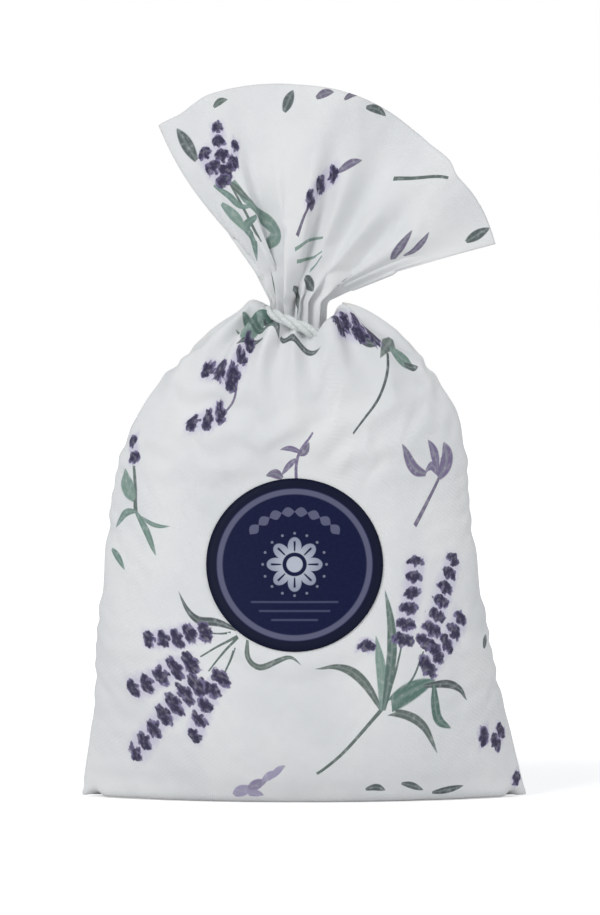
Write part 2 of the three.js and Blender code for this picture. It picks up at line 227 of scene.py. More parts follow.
# the neck, with one broad fold and one deep crease in front
CORE_RADIUS = 4.7
NECK_TWIST = 0.6
NECK_PLEAT_DEPTH = 1.9
NECK_PLEAT_GROWTH = 0.6
BROAD_FOLD = 1.3
DEEP_CREASE = 1.2
RUFF_START = 99.0
front_half = round_bag <= 0.5
over = np.where(front_half, 2 * round_bag, 2 - 2 * round_bag)
broad_fold = np.where(front_half, swell(over, 0.333, 0.05), 0)
deep_crease = np.where(front_half, swell(over, 0.46, 0.035), 0)
neck = []
for k in range(1, NECK_ROWS + 1):
    share = k / NECK_ROWS
    neck_pleats = np.cos(pleat_turn + PLEAT_TWIST + NECK_TWIST * share) * pleat_size - 0.3
    radius = CORE_RADIUS + (NECK_PLEAT_DEPTH + NECK_PLEAT_GROWTH * share) * neck_pleats
    radius += share * (BROAD_FOLD * broad_fold - DEEP_CREASE * deep_crease)
    neck_x = NECK_X + 0.5 * share + radius * np.cos(round_angle)
    slope = (neck_x - NECK_X) * math.tan(TIE_SLANT) * (1 - share)
    neck_z = TIE_HEIGHT + (RUFF_START - TIE_HEIGHT) * share - slope
    neck.append(np.stack([neck_x, radius * np.sin(round_angle), neck_z], axis=1))
neck = np.array(neck)

# the ruff, fanned out from the neck and leaning to the right, with its cut edge a little wavy
FAN_HEIGHT = 100.2
FAN_LEFT = -40.0
FAN_SPREAD = 115.5
EDGE_PLACES = [0, 0.06, 0.13, 0.35, 0.48, 0.57, 0.64, 0.70, 0.76, 0.80, 0.86, 0.91, 1]
EDGE_REACHES = [44.2, 43.2, 44.0, 41.9, 41.3, 40.7, 40.0, 39.7, 40.2, 39.2, 39.9, 40.2, 40.2]
HALF_MOUTH = 2.4
FRONT_FLARE = 0.4
BACK_FLARE = 3.6
FRONT_FOLDS = 2.6
BACK_FOLDS = 2.1
FRONT_FOLD_DEPTH = 2.0
BACK_FOLD_DEPTH = 3.8
FRONT_GATHERS = 2.2
BACK_GATHERS = 3.6
LEFT_BOW = 2.4
RIGHT_BOW = 1.0
LEFT_LEAN = 6.0
FORWARD = 3.5
RUFF_CREASE = 1.2
RUFF_FOLD = 1.8
facing = np.where(front_half, -1.0, 1.0)
middle = 1 - (2 * over - 1) ** 2
edge_turn = np.radians(FAN_LEFT + FAN_SPREAD * over)
edge_reach = np.interp(over, EDGE_PLACES, EDGE_REACHES)
edge_x = NECK_X + 0.5 + edge_reach * np.sin(edge_turn)
top_edge = np.stack([edge_x, 0 * over, FAN_HEIGHT + edge_reach * np.cos(edge_turn)], axis=1)
front_folds = FRONT_FOLD_DEPTH * np.cos(2 * math.pi * (FRONT_FOLDS * over - 0.12))
back_folds = BACK_FOLD_DEPTH * np.cos(2 * math.pi * (BACK_FOLDS * over + 0.3))
folds = np.where(front_half, front_folds, back_folds)
flare = np.where(front_half, FRONT_FLARE, BACK_FLARE)
gathers = np.cos(pleat_turn + (PLEAT_TWIST + NECK_TWIST)) * pleat_size * np.minimum(1, 3 * middle)
gathers = gathers * np.where(front_half, FRONT_GATHERS, BACK_GATHERS)
ruff = []
for k in range(1, RUFF_ROWS + 1):
    share = k / RUFF_ROWS
    settle = 1 - ease(share, 0.0, 0.55)
    opened = HALF_MOUTH + flare * share + folds * share
    fan = neck[-1] + (top_edge - neck[-1]) * share
    fan[:, 0] -= LEFT_BOW * math.sin(math.pi * share ** 1.4) * (1 - ease(over, 0, 0.25))
    fan[:, 2] += RIGHT_BOW * math.sin(math.pi * share ** 0.8) * ease(over, 0.8, 1)
    fan[:, 1] = neck[-1, :, 1] * settle + facing * (0.3 + middle * opened) * (1 - settle)
    fan[:, 1] += gathers * ease(share, 0.0, 0.25) * (1 - ease(share, 0.35, 1.0))
    fan[:, 1] += (LEFT_LEAN - LEFT_LEAN * over) * share - FORWARD * ease(share, 0.0, 0.6)
    fan[:, 1] += (RUFF_CREASE * deep_crease - RUFF_FOLD * broad_fold) * (1 - ease(share, 0.2, 0.85))
    ruff.append(fan)
rows = np.concatenate([bag, neck, np.array(ruff)])
last_row = len(rows) - 1


def mesh_of(shape, name):
    """A mesh with the form of a bmesh, which it uses up."""
    mesh = bpy.data.meshes.new(name)
    shape.to_mesh(mesh)
    shape.free()
    return mesh


def new_piece(name, form):
    """An object of that name and form, in the scene."""
    piece = bpy.data.objects.new(name, form)
    bpy.context.collection.objects.link(piece)
    return piece


def finished(piece):
    """The mesh of a piece with its modifiers carried out."""
    return bpy.data.meshes.new_from_object(piece.evaluated_get(bpy.context.evaluated_depsgraph_get()))


def listed(items, field, width, kind=float):
    """One field of each vertex, corner or other item of a mesh, as rows of numbers."""
    values = np.empty(len(items) * width, kind)
    items.foreach_get(field, values)
    return values.reshape(-1, width)


# the flat cloth, wrapped and sewn into that shape
cloth = bmesh.new()
row_of = cloth.verts.layers.int.new("row")
column_of = cloth.verts.layers.int.new("column")
flat_map = cloth.loops.layers.uv.new("cloth")
bmesh.ops.create_grid(cloth, x_segments=COLUMNS, y_segments=last_row, size=0.5)
for vertex in cloth.verts:
    vertex[row_of] = round((vertex.co.y + 0.5) * last_row)
    vertex[column_of] = round((vertex.co.x + 0.5) * COLUMNS)
for face in cloth.faces:
    face.smooth = True
    for corner in face.loops:
        flat_x = (corner.vert.co.x + 0.5) * CLOTH_WIDTH
        flat_y = (corner.vert.co.y + 0.5) * CLOTH_LENGTH
        corner[flat_map].uv = (flat_x, flat_y)
for vertex in cloth.verts:
    vertex.co = Vector(rows[vertex[row_of], vertex[column_of] % COLUMNS]) * MM * SIM_SCALE
side_edges = [v for v in cloth.verts if v[column_of] in (0, COLUMNS)]
bmesh.ops.remove_doubles(cloth, verts=side_edges, dist=1e-5)
bottom_edge = [v for v in cloth.verts if v[row_of] == 0]
bmesh.ops.remove_doubles(cloth, verts=bottom_edge, dist=0.05 * MM * SIM_SCALE)
bmesh.ops.recalc_face_normals(cloth, faces=cloth.faces)
row_numbers = np.array([v[row_of] for v in cloth.verts])
column_numbers = np.array([v[column_of] for v in cloth.verts])
bag_cloth = new_piece("bag_cloth", mesh_of(cloth, "bag_cloth"))

# the cloth settles: the neck is held by the tie, the body by its filling, and the rest hangs
BODY_HOLD = 0.32
SHOULDER_HOLD_LOSS = 0.14
RUFF_HOLD = 0.3
BODY_FIRMNESS = 0.85
SHOULDER_FIRMNESS_LOSS = 0.55
RUFF_FIRMNESS = 0.75
held = bag_cloth.vertex_groups.new(name="held")
still = bag_cloth.vertex_groups.new(name="still")
for index, row in enumerate(row_numbers):
    share = row / (BODY_ROWS - 1)
    if BODY_ROWS - 2 <= row <= BODY_ROWS + 1:
        hold = 1.0
        firm = 1.0
    elif row < BODY_ROWS:
        hold = BODY_HOLD - SHOULDER_HOLD_LOSS * ease(share, 0.55, 0.85)
        firm = BODY_FIRMNESS - SHOULDER_FIRMNESS_LOSS * ease(share, 0.55, 0.9)
    else:
        hold = RUFF_HOLD
        firm = RUFF_FIRMNESS
    held.add([index], float(hold), "REPLACE")
    still.add([index], float(firm), "REPLACE")
drape = bag_cloth.modifiers.new("Cloth", "CLOTH")
for setting, value in LIMP_COTTON.items():
    setattr(drape.settings, setting, value)
drape.settings.vertex_group_mass = "held"
drape.settings.vertex_group_shrink = "still"
drape.settings.effector_weights.gravity = 0.3
drape.collision_settings.distance_min = 0.006
drape.collision_settings.use_self_collision = False
drape.point_cache.frame_start = 1
drape.point_cache.frame_end = 60
bpy.ops.mesh.primitive_plane_add(size=10)
table_top = bpy.context.object
table_top.modifiers.new("Collision", "COLLISION")
table_top.collision.thickness_outer = 0.004
for moment in range(1, SETTLING_FRAMES + 1):
    bpy.context.scene.frame_set(moment)
hung = finished(bag_cloth)
bpy.data.objects.remove(table_top)
bag_cloth.modifiers.clear()
bag_cloth.data = hung
places = listed(hung.vertices, "co", 3) / SIM_SCALE
places[:, 2] -= places[:, 2].min() * (1 - ease(places[:, 2], 0, 0.02))

# the filling stays covered
COVER = 0.3 * MM
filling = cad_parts["lavender_fill"].data
skin = BVHTree.FromPolygons([v.co for v in filling.vertices], [p.vertices for p in filling.polygons])
for index in range(len(places)):
    spot, normal = skin.find_nearest(Vector(places[index]), 4 * MM)[:2]
    if spot is not None and (Vector(places[index]) - spot).dot(normal) < COVER:
        places[index] = spot + normal * COVER

# the round label holds the cloth under it smooth
LABEL_RADIUS = 0.0175
LABEL_TIP = 0.05
label_low, label_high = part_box("label")
label_x = (label_low.x + label_high.x) / 2
label_z = (label_low.z + label_high.z) / 2 + 0.7 * MM


def label_terms(x, z):
    """The terms of the gently curved surface that the label lies on, at places of the front."""
    right = x - label_x
    up = z - label_z
    return np.stack([np.ones_like(right), right, up, right ** 2, right * up, up ** 2], axis=-1)


from_label = np.hypot(places[:, 0] - label_x, places[:, 2] - label_z)
beneath = (from_label < 1.1 * LABEL_RADIUS) & (places[:, 1] < 0)
label_curve = np.linalg.lstsq(
    label_terms(places[beneath, 0], places[beneath, 2]), places[beneath, 1], rcond=None
)[0]
label_curve[2] += LABEL_TIP
reach = (places[:, 1] < 0) * (1 - ease(from_label, LABEL_RADIUS, 1.35 * LABEL_RADIUS))
smooth_front = label_terms(places[:, 0], places[:, 2]) @ label_curve
places[:, 1] += (smooth_front - places[:, 1]) * reach

# the lines of the seams, and the cloth made finer
side_seams = []
for column in (0, COLUMNS // 2):
    seam = np.flatnonzero((column_numbers == column) & (row_numbers > 2) & (row_numbers < BODY_ROWS - 6))
    side_seams.append(places[seam[np.argsort(row_numbers[seam])]] / MM)
seam = np.flatnonzero((row_numbers == 0) & (column_numbers > 2) & (column_numbers < COLUMNS // 2 - 2))
bottom_seam = places[seam[np.argsort(places[seam, 0])]] / MM
hung.vertices.foreach_set("co", places.ravel())
hung.update()
finer = bag_cloth.modifiers.new("Finer", "SUBSURF")
finer.levels = 1
finer.render_levels = 1
finer.uv_smooth = "NONE"
whole = finished(bag_cloth)
bpy.data.objects.remove(bag_cloth)
if sum(face.normal.y * face.center.y for face in whole.polygons) < 0:
    whole.flip_normals()

# Print on the cloth
# Lavender printed on the white cotton in violet, sage and slate inks: bunches of flower spikes with narrow
# leaves, leafy sprigs and mauve twigs. Each stroke is drawn along a curve that lies on the flat cloth.
# A motif lists its strokes: the kind, half the width, the ink, and points in millimetres from its root.
HANGING_BUNCH = [
    ("leaf", 0.65, 0.10, [(-0.4, 0.8), (-4.8, 2.4), (-8.0, 2.8), (-10.2, 4.8), (-12.0, 8.6)]),
    ("stem", 0.25, 0.35, [(0.0, -0.4), (-3.6, -2.2), (-7.6, -4.6)]),
    ("stem", 0.25, 0.35, [(0.0, -0.8), (-3.2, -4.2), (-6.0, -7.6)]),
    ("stem", 0.25, 0.35, [(0.0, -1.2), (-1.4, -4.8), (-2.8, -8.0)]),
    ("stem", 0.22, 0.35, [(-0.4, 0.4), (-3.2, 0.0), (-6.0, 0.2)]),
    ("leaf", 0.55, 0.30, [(1.8, -1.2), (2.0, -4.8), (4.2, -6.8), (7.6, -5.6), (10.6, -4.8), (12.8, -6.4)]),
    ("spike", 1.9, 1.0, [(-5.0, 0.6), (-9.6, 0.0), (-14.2, -1.0), (-19.4, -0.8)]),
    ("spike", 1.9, 1.0, [(-8.0, -5.2), (-12.0, -6.8), (-17.2, -9.4), (-22.4, -11.0)]),
    ("spike", 1.9, 1.0, [(-7.0, -9.2), (-12.6, -14.0), (-17.2, -19.6), (-21.6, -25.2)]),
    ("spike", 1.8, 1.0, [(-2.6, -7.4), (-5.8, -12.6), (-7.6, -16.8), (-9.2, -22.0)]),
]
STANDING_BUNCH = [
    ("stem", 0.36, 0.30, [(1.6, 2.8), (0.2, 0.4), (-5.6, -6.4), (-12.6, -12.4)]),
    ("leaf", 0.85, 0.28, [(0.4, 0.0), (-2.8, 5.4), (-6.0, 8.2), (-9.2, 9.0), (-13.0, 8.6)]),
    ("leaf", 0.90, 0.75, [(0.4, 0.2), (0.4, 6.4), (-0.2, 11.4), (-0.8, 15.2)]),
    ("leaf", 0.85, 0.45, [(0.8, 0.2), (2.2, 9.4), (2.2, 17.4), (1.0, 24.4)]),
    ("leaf", 1.65, 0.62, [(0.2, -0.2), (5.6, 3.8), (11.2, 6.4)]),
    ("leaf", 0.75, 0.08, [(8.8, 5.2), (13.2, 5.6), (16.0, 4.6), (17.6, 2.4)]),
    ("leaf", 0.90, 0.55, [(10.8, 5.6), (11.2, 1.2), (12.0, -1.8), (14.2, -3.4)]),
    ("leaf", 0.80, 0.25, [(-0.4, 0.0), (5.2, -0.6), (8.8, -3.0), (11.6, -8.4)]),
    ("spike", 1.9, 1.0, [(4.2, 12.8), (5.6, 19.4), (6.4, 24.4), (7.4, 31.8)]),
    ("spike", 1.9, 1.0, [(8.8, 12.4), (11.4, 19.4), (13.2, 25.4), (15.2, 32.0)]),
    ("spike", 1.9, 1.0, [(8.8, 7.6), (11.6, 11.4), (14.2, 14.8), (16.6, 20.4)]),
    ("stem", 0.25, 0.35, [(1.2, 1.6), (3.2, 8.0), (4.2, 12.8)]),
    ("stem", 0.25, 0.35, [(2.0, 1.6), (6.4, 6.4), (8.8, 12.0)]),
]
LEAFY_SPRIG = [
    ("stem", 0.35, 0.35, [(0.0, 0.0), (0.0, 4.6), (-0.4, 9.6)]),
    ("leaf", 1.10, 0.74, [(-0.2, 2.6), (-1.8, 5.8), (-2.2, 9.0)]),
    ("leaf", 0.60, 0.70, [(0.0, 0.4), (-2.2, -0.2), (-4.4, -3.0)]),
    ("leaf", 0.60, 0.70, [(0.0, 0.4), (2.4, -4.0), (4.2, -8.6)]),
    ("leaf", 0.40, 0.72, [(1.0, -0.6), (3.8, -2.4), (7.0, -2.6)]),
    ("spike", 1.2, 1.0, [(-0.2, 9.4), (-0.4, 12.6), (-0.4, 16.2)]),
    ("leaf", 0.60, 0.70, [(-5.0, -7.2), (-3.6, -8.8), (-2.2, -11.4)]),
]
MAUVE_TWIG = [
    ("stem", 0.32, 0.95, [(0.2, -0.8), (0.0, 3.4), (1.0, 6.4), (3.4, 10.0)]),
    ("leaf", 0.50, 0.95, [(1.2, 5.8), (-0.8, 6.6), (-3.2, 6.4)]),
    ("leaf", 0.50, 0.95, [(0.0, 4.6), (-1.6, 3.2), (-3.0, 1.2)]),
    ("leaf", 0.80, 0.90, [(-2.6, 0.8), (-4.4, 1.8), (-6.0, 1.2)]),
    ("leaf", 0.60, 0.90, [(0.6, 5.4), (2.0, 6.4), (2.6, 8.0)]),
]
FORKED_TWIG = [
    ("stem", 0.32, 0.88, [(-0.6, -0.2), (2.0, 5.0), (4.6, 10.2), (5.4, 15.0)]),
    ("leaf", 0.95, 0.92, [(1.6, 10.2), (-0.8, 11.4), (-3.2, 16.2)]),
    ("leaf", 0.85, 0.95, [(4.8, 9.8), (2.8, 11.8), (1.2, 10.2)]),
    ("leaf", 1.05, 0.95, [(4.2, 9.4), (5.8, 13.0), (5.4, 16.6)]),
    ("leaf", 0.75, 0.95, [(4.0, 11.4), (3.2, 14.6), (2.0, 17.0)]),
]
TRAILING_SPRIG = [
    ("leaf", 1.70, 0.74, [(-4.6, -1.8), (-0.8, 0.2), (3.0, 1.4)]),
    ("leaf", 0.95, 0.06, [(0.8, 2.8), (2.6, 0.2), (3.8, -3.2)]),
    ("leaf", 0.90, 0.50, [(2.8, -0.8), (-1.4, -0.4), (-5.2, -1.4)]),
    ("leaf", 0.70, 0.10, [(-0.4, -3.0), (-2.8, -3.6), (-5.2, -4.4)]),
    ("leaf", 0.90, 0.62, [(2.2, 0.8), (-0.8, 2.8), (-3.8, 1.8)]),
    ("spike", 2.3, 1.0, [(-1.6, -3.2), (-4.0, -6.8), (-6.0, -11.4)]),
    ("spike", 2.0, 1.0, [(-4.6, -11.6), (-8.0, -9.8), (-11.8, -8.4)]),
    ("spike", 2.0, 1.0, [(-6.8, -17.6), (-11.2, -19.6), (-15.8, -20.8)]),
    ("stem", 0.25, 0.92, [(-4.8, -10.0), (-5.4, -14.6), (-7.2, -17.8)]),
    # this dark leaf runs along under the tie: a printed leaf, and painted shadow under the tie
    ("leaf", 0.65, 0.10, [(4.0, -2.8), (7.6, -3.9), (11.6, -4.8)]),
]
SHOULDER_BUNCH = [
    ("leaf", 1.30, 0.28, [(0.8, 3.2), (-0.4, 1.0), (-1.6, -1.2)]),
    ("leaf", 1.10, 0.70, [(0.6, 0.8), (3.0, -1.2), (5.4, -3.4)]),
    ("leaf", 0.60, 0.15, [(3.2, -2.4), (4.6, -2.9), (6.0, -2.8)]),
    ("leaf", 0.70, 0.08, [(-2.6, 1.4), (-4.4, 2.0), (-6.0, 2.4)]),
    ("stem", 0.30, 0.12, [(0.0, 0.0), (-0.4, -5.2), (-2.8, -10.8), (-7.0, -16.4)]),
    ("spike", 1.9, 1.0, [(-0.8, 2.4), (-5.2, 4.8), (-11.4, 6.8)]),
    ("spike", 1.4, 1.0, [(-3.2, 2.8), (-7.2, 4.0), (-10.6, 4.4)]),
]
RUFF_BUNCH = [
    ("leaf", 0.75, 0.72, [(-6.2, 18.2), (-2.8, 13.8), (0.8, 9.6), (1.8, 6.4), (0.8, 3.8)]),
    ("leaf", 0.55, 0.70, [(-10.0, 17.2), (-7.2, 15.2), (-4.8, 13.2), (-2.4, 13.2)]),
    ("leaf", 0.65, 0.68, [(-1.2, 11.4), (-3.6, 9.2), (-2.4, 6.4), (-1.4, 2.0)]),
    ("leaf", 0.75, 0.76, [(-8.4, 13.6), (-5.6, 10.8), (-3.6, 8.0)]),
    ("leaf", 0.50, 0.30, [(-6.8, 18.0), (-4.4, 15.6), (-2.4, 14.0)]),
    ("leaf", 0.55, 0.25, [(1.2, 0.2), (1.8, -1.8), (2.5, -4.8)]),
    ("stem", 0.25, 0.35, [(-0.8, 6.0), (-3.6, 11.6), (-7.2, 18.4)]),
    ("spike", 1.6, 1.0, [(-6.8, 17.2), (-10.2, 20.8), (-12.6, 25.2)]),
    ("spike", 1.3, 1.0, [(-6.6, 19.2), (-8.6, 24.0), (-9.4, 30.4)]),
    ("spike", 1.0, 1.0, [(-6.0, 20.4), (-6.0, 23.6), (-5.4, 26.8)]),
    ("leaf", 1.10, 0.15, [(-13.4, 22.2), (-15.4, 25.4), (-17.4, 28.6)]),
    ("leaf", 0.60, 0.30, [(-10.0, 32.8), (-8.8, 34.0), (-7.2, 34.4)]),
]
RUFF_SPIKE = [
    ("stem", 0.36, 0.85, [(-0.6, -0.8), (0.8, 3.2), (2.8, 6.4)]),
    ("spike", 1.7, 1.0, [(1.2, 4.4), (4.2, 8.4), (8.2, 12.6)]),
    ("leaf", 0.70, 0.90, [(7.6, 12.0), (10.0, 13.6), (12.4, 14.2)]),
]
RUFF_STRAYS = [
    ("stem", 0.36, 0.25, [(-1.4, -0.2), (4.0, 0.0), (9.6, 0.0)]),
    ("leaf", 0.80, 0.88, [(-1.4, -16.4), (0.4, -13.2), (2.4, -10.4)]),
    ("leaf", 0.50, 0.90, [(0.8, -16.0), (3.4, -14.0), (5.8, -10.8)]),
    ("leaf", 0.80, 0.15, [(13.2, -12.8), (15.6, -11.2), (18.0, -10.0)]),
    ("leaf", 0.90, 0.15, [(-23.2, 13.2), (-22.2, 15.6), (-21.4, 17.6)]),
    ("leaf", 0.80, 0.85, [(-16.8, 16.0), (-15.0, 17.0), (-13.2, 17.2)]),
    ("leaf", 0.60, 0.85, [(-11.2, 15.6), (-9.8, 16.6), (-8.4, 16.8)]),
    ("leaf", 0.90, 0.15, [(-6.8, 14.0), (-4.6, 13.6), (-2.8, 12.4)]),
    # these two dark leaves lie in the creases of the neck: print, and painted shade in the creases
    ("leaf", 0.90, 0.12, [(-19.2, -19.8), (-18.2, -21.4), (-17.4, -22.6)]),
    ("leaf", 0.70, 0.12, [(-20.8, -22.0), (-20.4, -25.0), (-20.2, -28.0)]),
    # this dark leaf lies where the ruff's lower right edge meets the neck: print, and painted shadow under
    # that edge
    ("leaf", 0.60, 0.12, [(-12.4, -21.4), (-11.0, -20.0), (-9.6, -18.8)]),
    # these three stems follow the fine pleats low on the ruff: print, and painted shade of the pleats
    ("stem", 0.25, 0.77, [(-21.0, -14.4), (-18.0, -13.0), (-15.6, -11.8)]),
    ("stem", 0.25, 0.77, [(-20.6, -16.8), (-18.0, -15.8), (-15.6, -14.8)]),
    ("stem", 0.25, 0.77, [(-18.2, -18.6), (-16.8, -17.4), (-15.6, -15.6)]),
]
BOTTOM_SPRIG = [
    ("leaf", 1.00, 1.00, [(-5.6, -2.8), (-3.8, -1.8), (-2.2, -1.0)]),
    ("leaf", 0.90, 0.97, [(-2.6, -1.6), (-0.8, -0.4), (1.0, 0.2)]),
    ("leaf", 0.70, 1.00, [(0.2, 0.0), (1.8, 1.4), (3.6, 2.0)]),
    ("leaf", 0.60, 1.00, [(2.0, 0.8), (3.4, 2.4), (4.8, 3.2)]),
    ("leaf", 0.60, 1.00, [(-2.8, -2.6), (-1.2, -2.3), (0.4, -2.8)]),
]
EDGE_BUDS = [
    ("spike", 1.5, 1.0, [(-2.4, -1.2), (0.4, 1.2)]),
    ("spike", 1.6, 1.0, [(0.8, -2.4), (3.0, 2.4)]),
    ("spike", 1.2, 1.0, [(4.8, -10.0), (6.8, -7.2)]),
    # this dark leaf darkens the bottom edge, where the cloth turns under
    ("leaf", 0.60, 0.10, [(-11.6, -11.4), (-8.8, -11.0), (-5.2, -10.0)]),
    ("spike", 1.6, 1.0, [(-25.2, 16.4), (-24.0, 19.6)]),
    # these two dark leaves darken the bottom edge, where the cloth turns under
    ("leaf", 0.60, 0.15, [(-24.8, -10.8), (-22.8, -10.4), (-20.8, -11.0)]),
    ("leaf", 0.60, 0.15, [(-17.6, -9.6), (-15.6, -10.0), (-13.2, -11.0)]),
    ("leaf", 0.40, 0.20, [(-0.8, 17.6), (-0.4, 20.4)]),
]
FRONT_PRINT = [
    (HANGING_BUNCH, -13.2, 32.6),
    (STANDING_BUNCH, 15.2, 17.0),
    (LEAFY_SPRIG, -33.8, 56.8),
    (MAUVE_TWIG, -1.6, 63.0),
    (FORKED_TWIG, 22.8, 54.4),
    (TRAILING_SPRIG, -8.4, 95.0),
    (SHOULDER_BUNCH, 16.8, 89.0),
    (RUFF_BUNCH, -8.0, 105.0),
    (RUFF_SPIKE, -0.8, 113.0),
    (RUFF_STRAYS, 19.2, 123.8),
    (BOTTOM_SPRIG, -8.4, 3.0),
    (EDGE_BUDS, 37.2, 12.2),
]
BACK_PRINT = [
    (STANDING_BUNCH, 128, 34, 15, 1.0),
    (HANGING_BUNCH, 184, 47, -10, 1.0),
    (STANDING_BUNCH, 168, 99, 165, 0.85),
    (HANGING_BUNCH, 134, 104, 20, 1.0),
    (LEAFY_SPRIG, 110, 62, -70, 1.0),
    (LEAFY_SPRIG, 148, 22, 200, 1.0),
    (MAUVE_TWIG, 149, 52, 40, 1.0),
    (MAUVE_TWIG, 112, 22, -120, 1.0),
    (FORKED_TWIG, 162, 8, 40, 1.0),
    (FORKED_TWIG, 104, 92, 15, 1.0),
    (STANDING_BUNCH, 122, 126, -15, 0.9),
    (HANGING_BUNCH, 172, 146, 10, 1.0),
    (MAUVE_TWIG, 150, 134, -30, 1.0),
]
INK_SPREAD = 1.15
LAYERS = {"stem": 2, "leaf": 3, "spike": 2}
spots = listed(whole.vertices, "co", 3) / MM
corner_vertices = listed(whole.loops, "vertex_index", 1, int)[:, 0]
corner_flats = listed(whole.uv_layers["cloth"].uv, "vector", 2) / MM
spot_flats = np.empty((len(spots), 2))
spot_flats[corner_vertices] = corner_flats

# the view from the front that the printed places are given in: its middle, distance and angle
VIEW_X = -0.8
VIEW_Z = 67.9
VIEW_DISTANCE = 1200.0
VIEW_RISE = math.radians(1.5)
closer = VIEW_DISTANCE / (VIEW_DISTANCE + spots[:, 1])
view_x = VIEW_X + (spots[:, 0] - VIEW_X) * closer
view_z = VIEW_Z + (spots[:, 2] + spots[:, 1] * math.tan(VIEW_RISE) - VIEW_Z) * closer


def seen_in_front(x, z):
    """The place on the flat cloth of the spot that is seen from the front at x, z, in millimetres."""
    away = np.hypot(view_x - x, view_z - z)
    near = np.flatnonzero(away < max(1.0, away.min() + 0.3))
    foremost = near[spots[near, 1].argmin()]
    beside = np.abs(spot_flats[near] - spot_flats[foremost]).max(axis=1)
    near = near[(beside < 6.0) & (spots[near, 1] < spots[foremost, 1] + 0.8)]
    weight = 1 / (away[near] + 0.05) ** 2
    return (spot_flats[near] * weight[:, None]).sum(axis=0) / weight.sum()


def through(points, steps=8):
    """A smooth curve through a few points."""
    points = np.array(points, float)
    ends = np.concatenate([[2 * points[0] - points[1]], points, [2 * points[-1] - points[-2]]])
    share = np.linspace(0, 1, steps, endpoint=False)[:, None]
    line = []
    for a, b, c, d in zip(ends, ends[1:], ends[2:], ends[3:]):
        bend = (2 * a - 5 * b + 4 * c - d) * share ** 2 + (3 * b - a - 3 * c + d) * share ** 3
        line.append(0.5 * (2 * b + (c - a) * share + bend))
    return np.concatenate(line + [points[-1:]])


def seen_stroke(kind, half_width, ink, seen):
    """A stroke on the flat cloth that is seen from the front along some points, gathers and all."""
    line = through([seen_in_front(x, z) for x, z in seen])
    seen_way = (seen[-1] - seen[0]) / np.linalg.norm(seen[-1] - seen[0])
    flat_way = (line[-1] - line[0]) / np.linalg.norm(line[-1] - line[0])
    beside = 1.5 * np.array([-seen_way[1], seen_way[0]])
    middle = seen[len(seen) // 2]
    gap = seen_in_front(*(middle + beside)) - seen_in_front(*(middle - beside))
    wider = np.clip(abs(flat_way[0] * gap[1] - flat_way[1] * gap[0]) / 3, 0.8, 1.7)
    if kind == "spike":
        wider = min(wider, 1.1)
        ink = 1 / np.clip(way_along(line)[-1] / way_along(seen)[-1], 0.8, 2.5)
    return kind, half_width * INK_SPREAD * wider, ink, line


# on the front the motifs stand where they are seen, and on the back they are turned and sized on the flat
# cloth; the ink of a spike is the share of its length that its whorls are reckoned on
strokes = []
for motif, root_x, root_z in FRONT_PRINT:
    for kind, half_width, ink, points in motif:
        strokes.append(seen_stroke(kind, half_width, ink, np.array(points) + (root_x, root_z)))
for motif, root_x, root_y, turn, size in BACK_PRINT:
    cosine = math.cos(math.radians(turn)) * size
    sine = math.sin(math.radians(turn)) * size
    for kind, half_width, ink, points in motif:
        line = [(root_x + x * cosine - y * sine, root_y + x * sine + y * cosine) for x, y in points]
        strokes.append((kind, half_width * INK_SPREAD * size, ink, through(line)))


def along_and_across(flats, line):
    """How far along a curve some places lie, how far beside it, and its length, in millimetres."""
    steps = np.diff(line, axis=0)
    lengths = np.linalg.norm(steps, axis=1)
    way = way_along(line)
    offsets = flats[:, None, :] - line[None, :-1, :]
    shares = (offsets * steps).sum(axis=2) / lengths ** 2
    low = np.where(np.arange(len(steps)) == 0, -9.0, 0.0)
    high = np.where(np.arange(len(steps)) == len(steps) - 1, 9.0, 1.0)
    shares = np.clip(shares, low, high)
    gaps = np.linalg.norm(offsets - np.clip(shares, 0, 1)[:, :, None] * steps, axis=2)
    nearest = gaps.argmin(axis=1)
    each = np.arange(len(flats))
    cross = steps[nearest, 0] * offsets[each, nearest, 1] - steps[nearest, 1] * offsets[each, nearest, 0]
    return way[nearest] + shares[each, nearest] * lengths[nearest], cross / lengths[nearest], way[-1]


# every face of the cloth notes the strokes that cross it, up to two or three of a kind
face_flats = corner_flats.reshape(-1, 4, 2)
face_middles = face_flats.mean(axis=1)
for kind, count in LAYERS.items():
    printed = np.zeros((count, len(face_flats), 4, 3), np.float32)
    used = np.zeros(len(face_flats), int)
    for stroke_kind, half_width, ink, line in strokes:
        if stroke_kind != kind:
            continue
        margin = half_width + 1.5
        inside = (face_middles > line.min(axis=0) - margin) & (face_middles < line.max(axis=0) + margin)
        close = np.flatnonzero(inside.all(axis=1) & (used < count))
        along, across, length = along_and_across(face_flats[close].reshape(-1, 2), line)
        covered = (np.abs(across) < margin - 0.5) & (along > -1.0) & (along < length + 1.0)
        covered = covered.reshape(-1, 4).any(axis=1)
        if kind == "spike":
            noted = [along * ink, across / half_width, np.full(len(along), length * ink)]
        else:
            noted = [along / length, across / half_width, np.full(len(along), ink)]
        chosen = close[covered]
        printed[used[chosen], chosen] = np.stack(noted, axis=1).reshape(-1, 4, 3)[covered]
        used[chosen] += 1
    for number, layer in enumerate(printed, 1):
        note = whole.attributes.new(f"{kind}_{number}", "FLOAT_VECTOR", "CORNER")
        note.data.foreach_set("vector", layer.ravel())


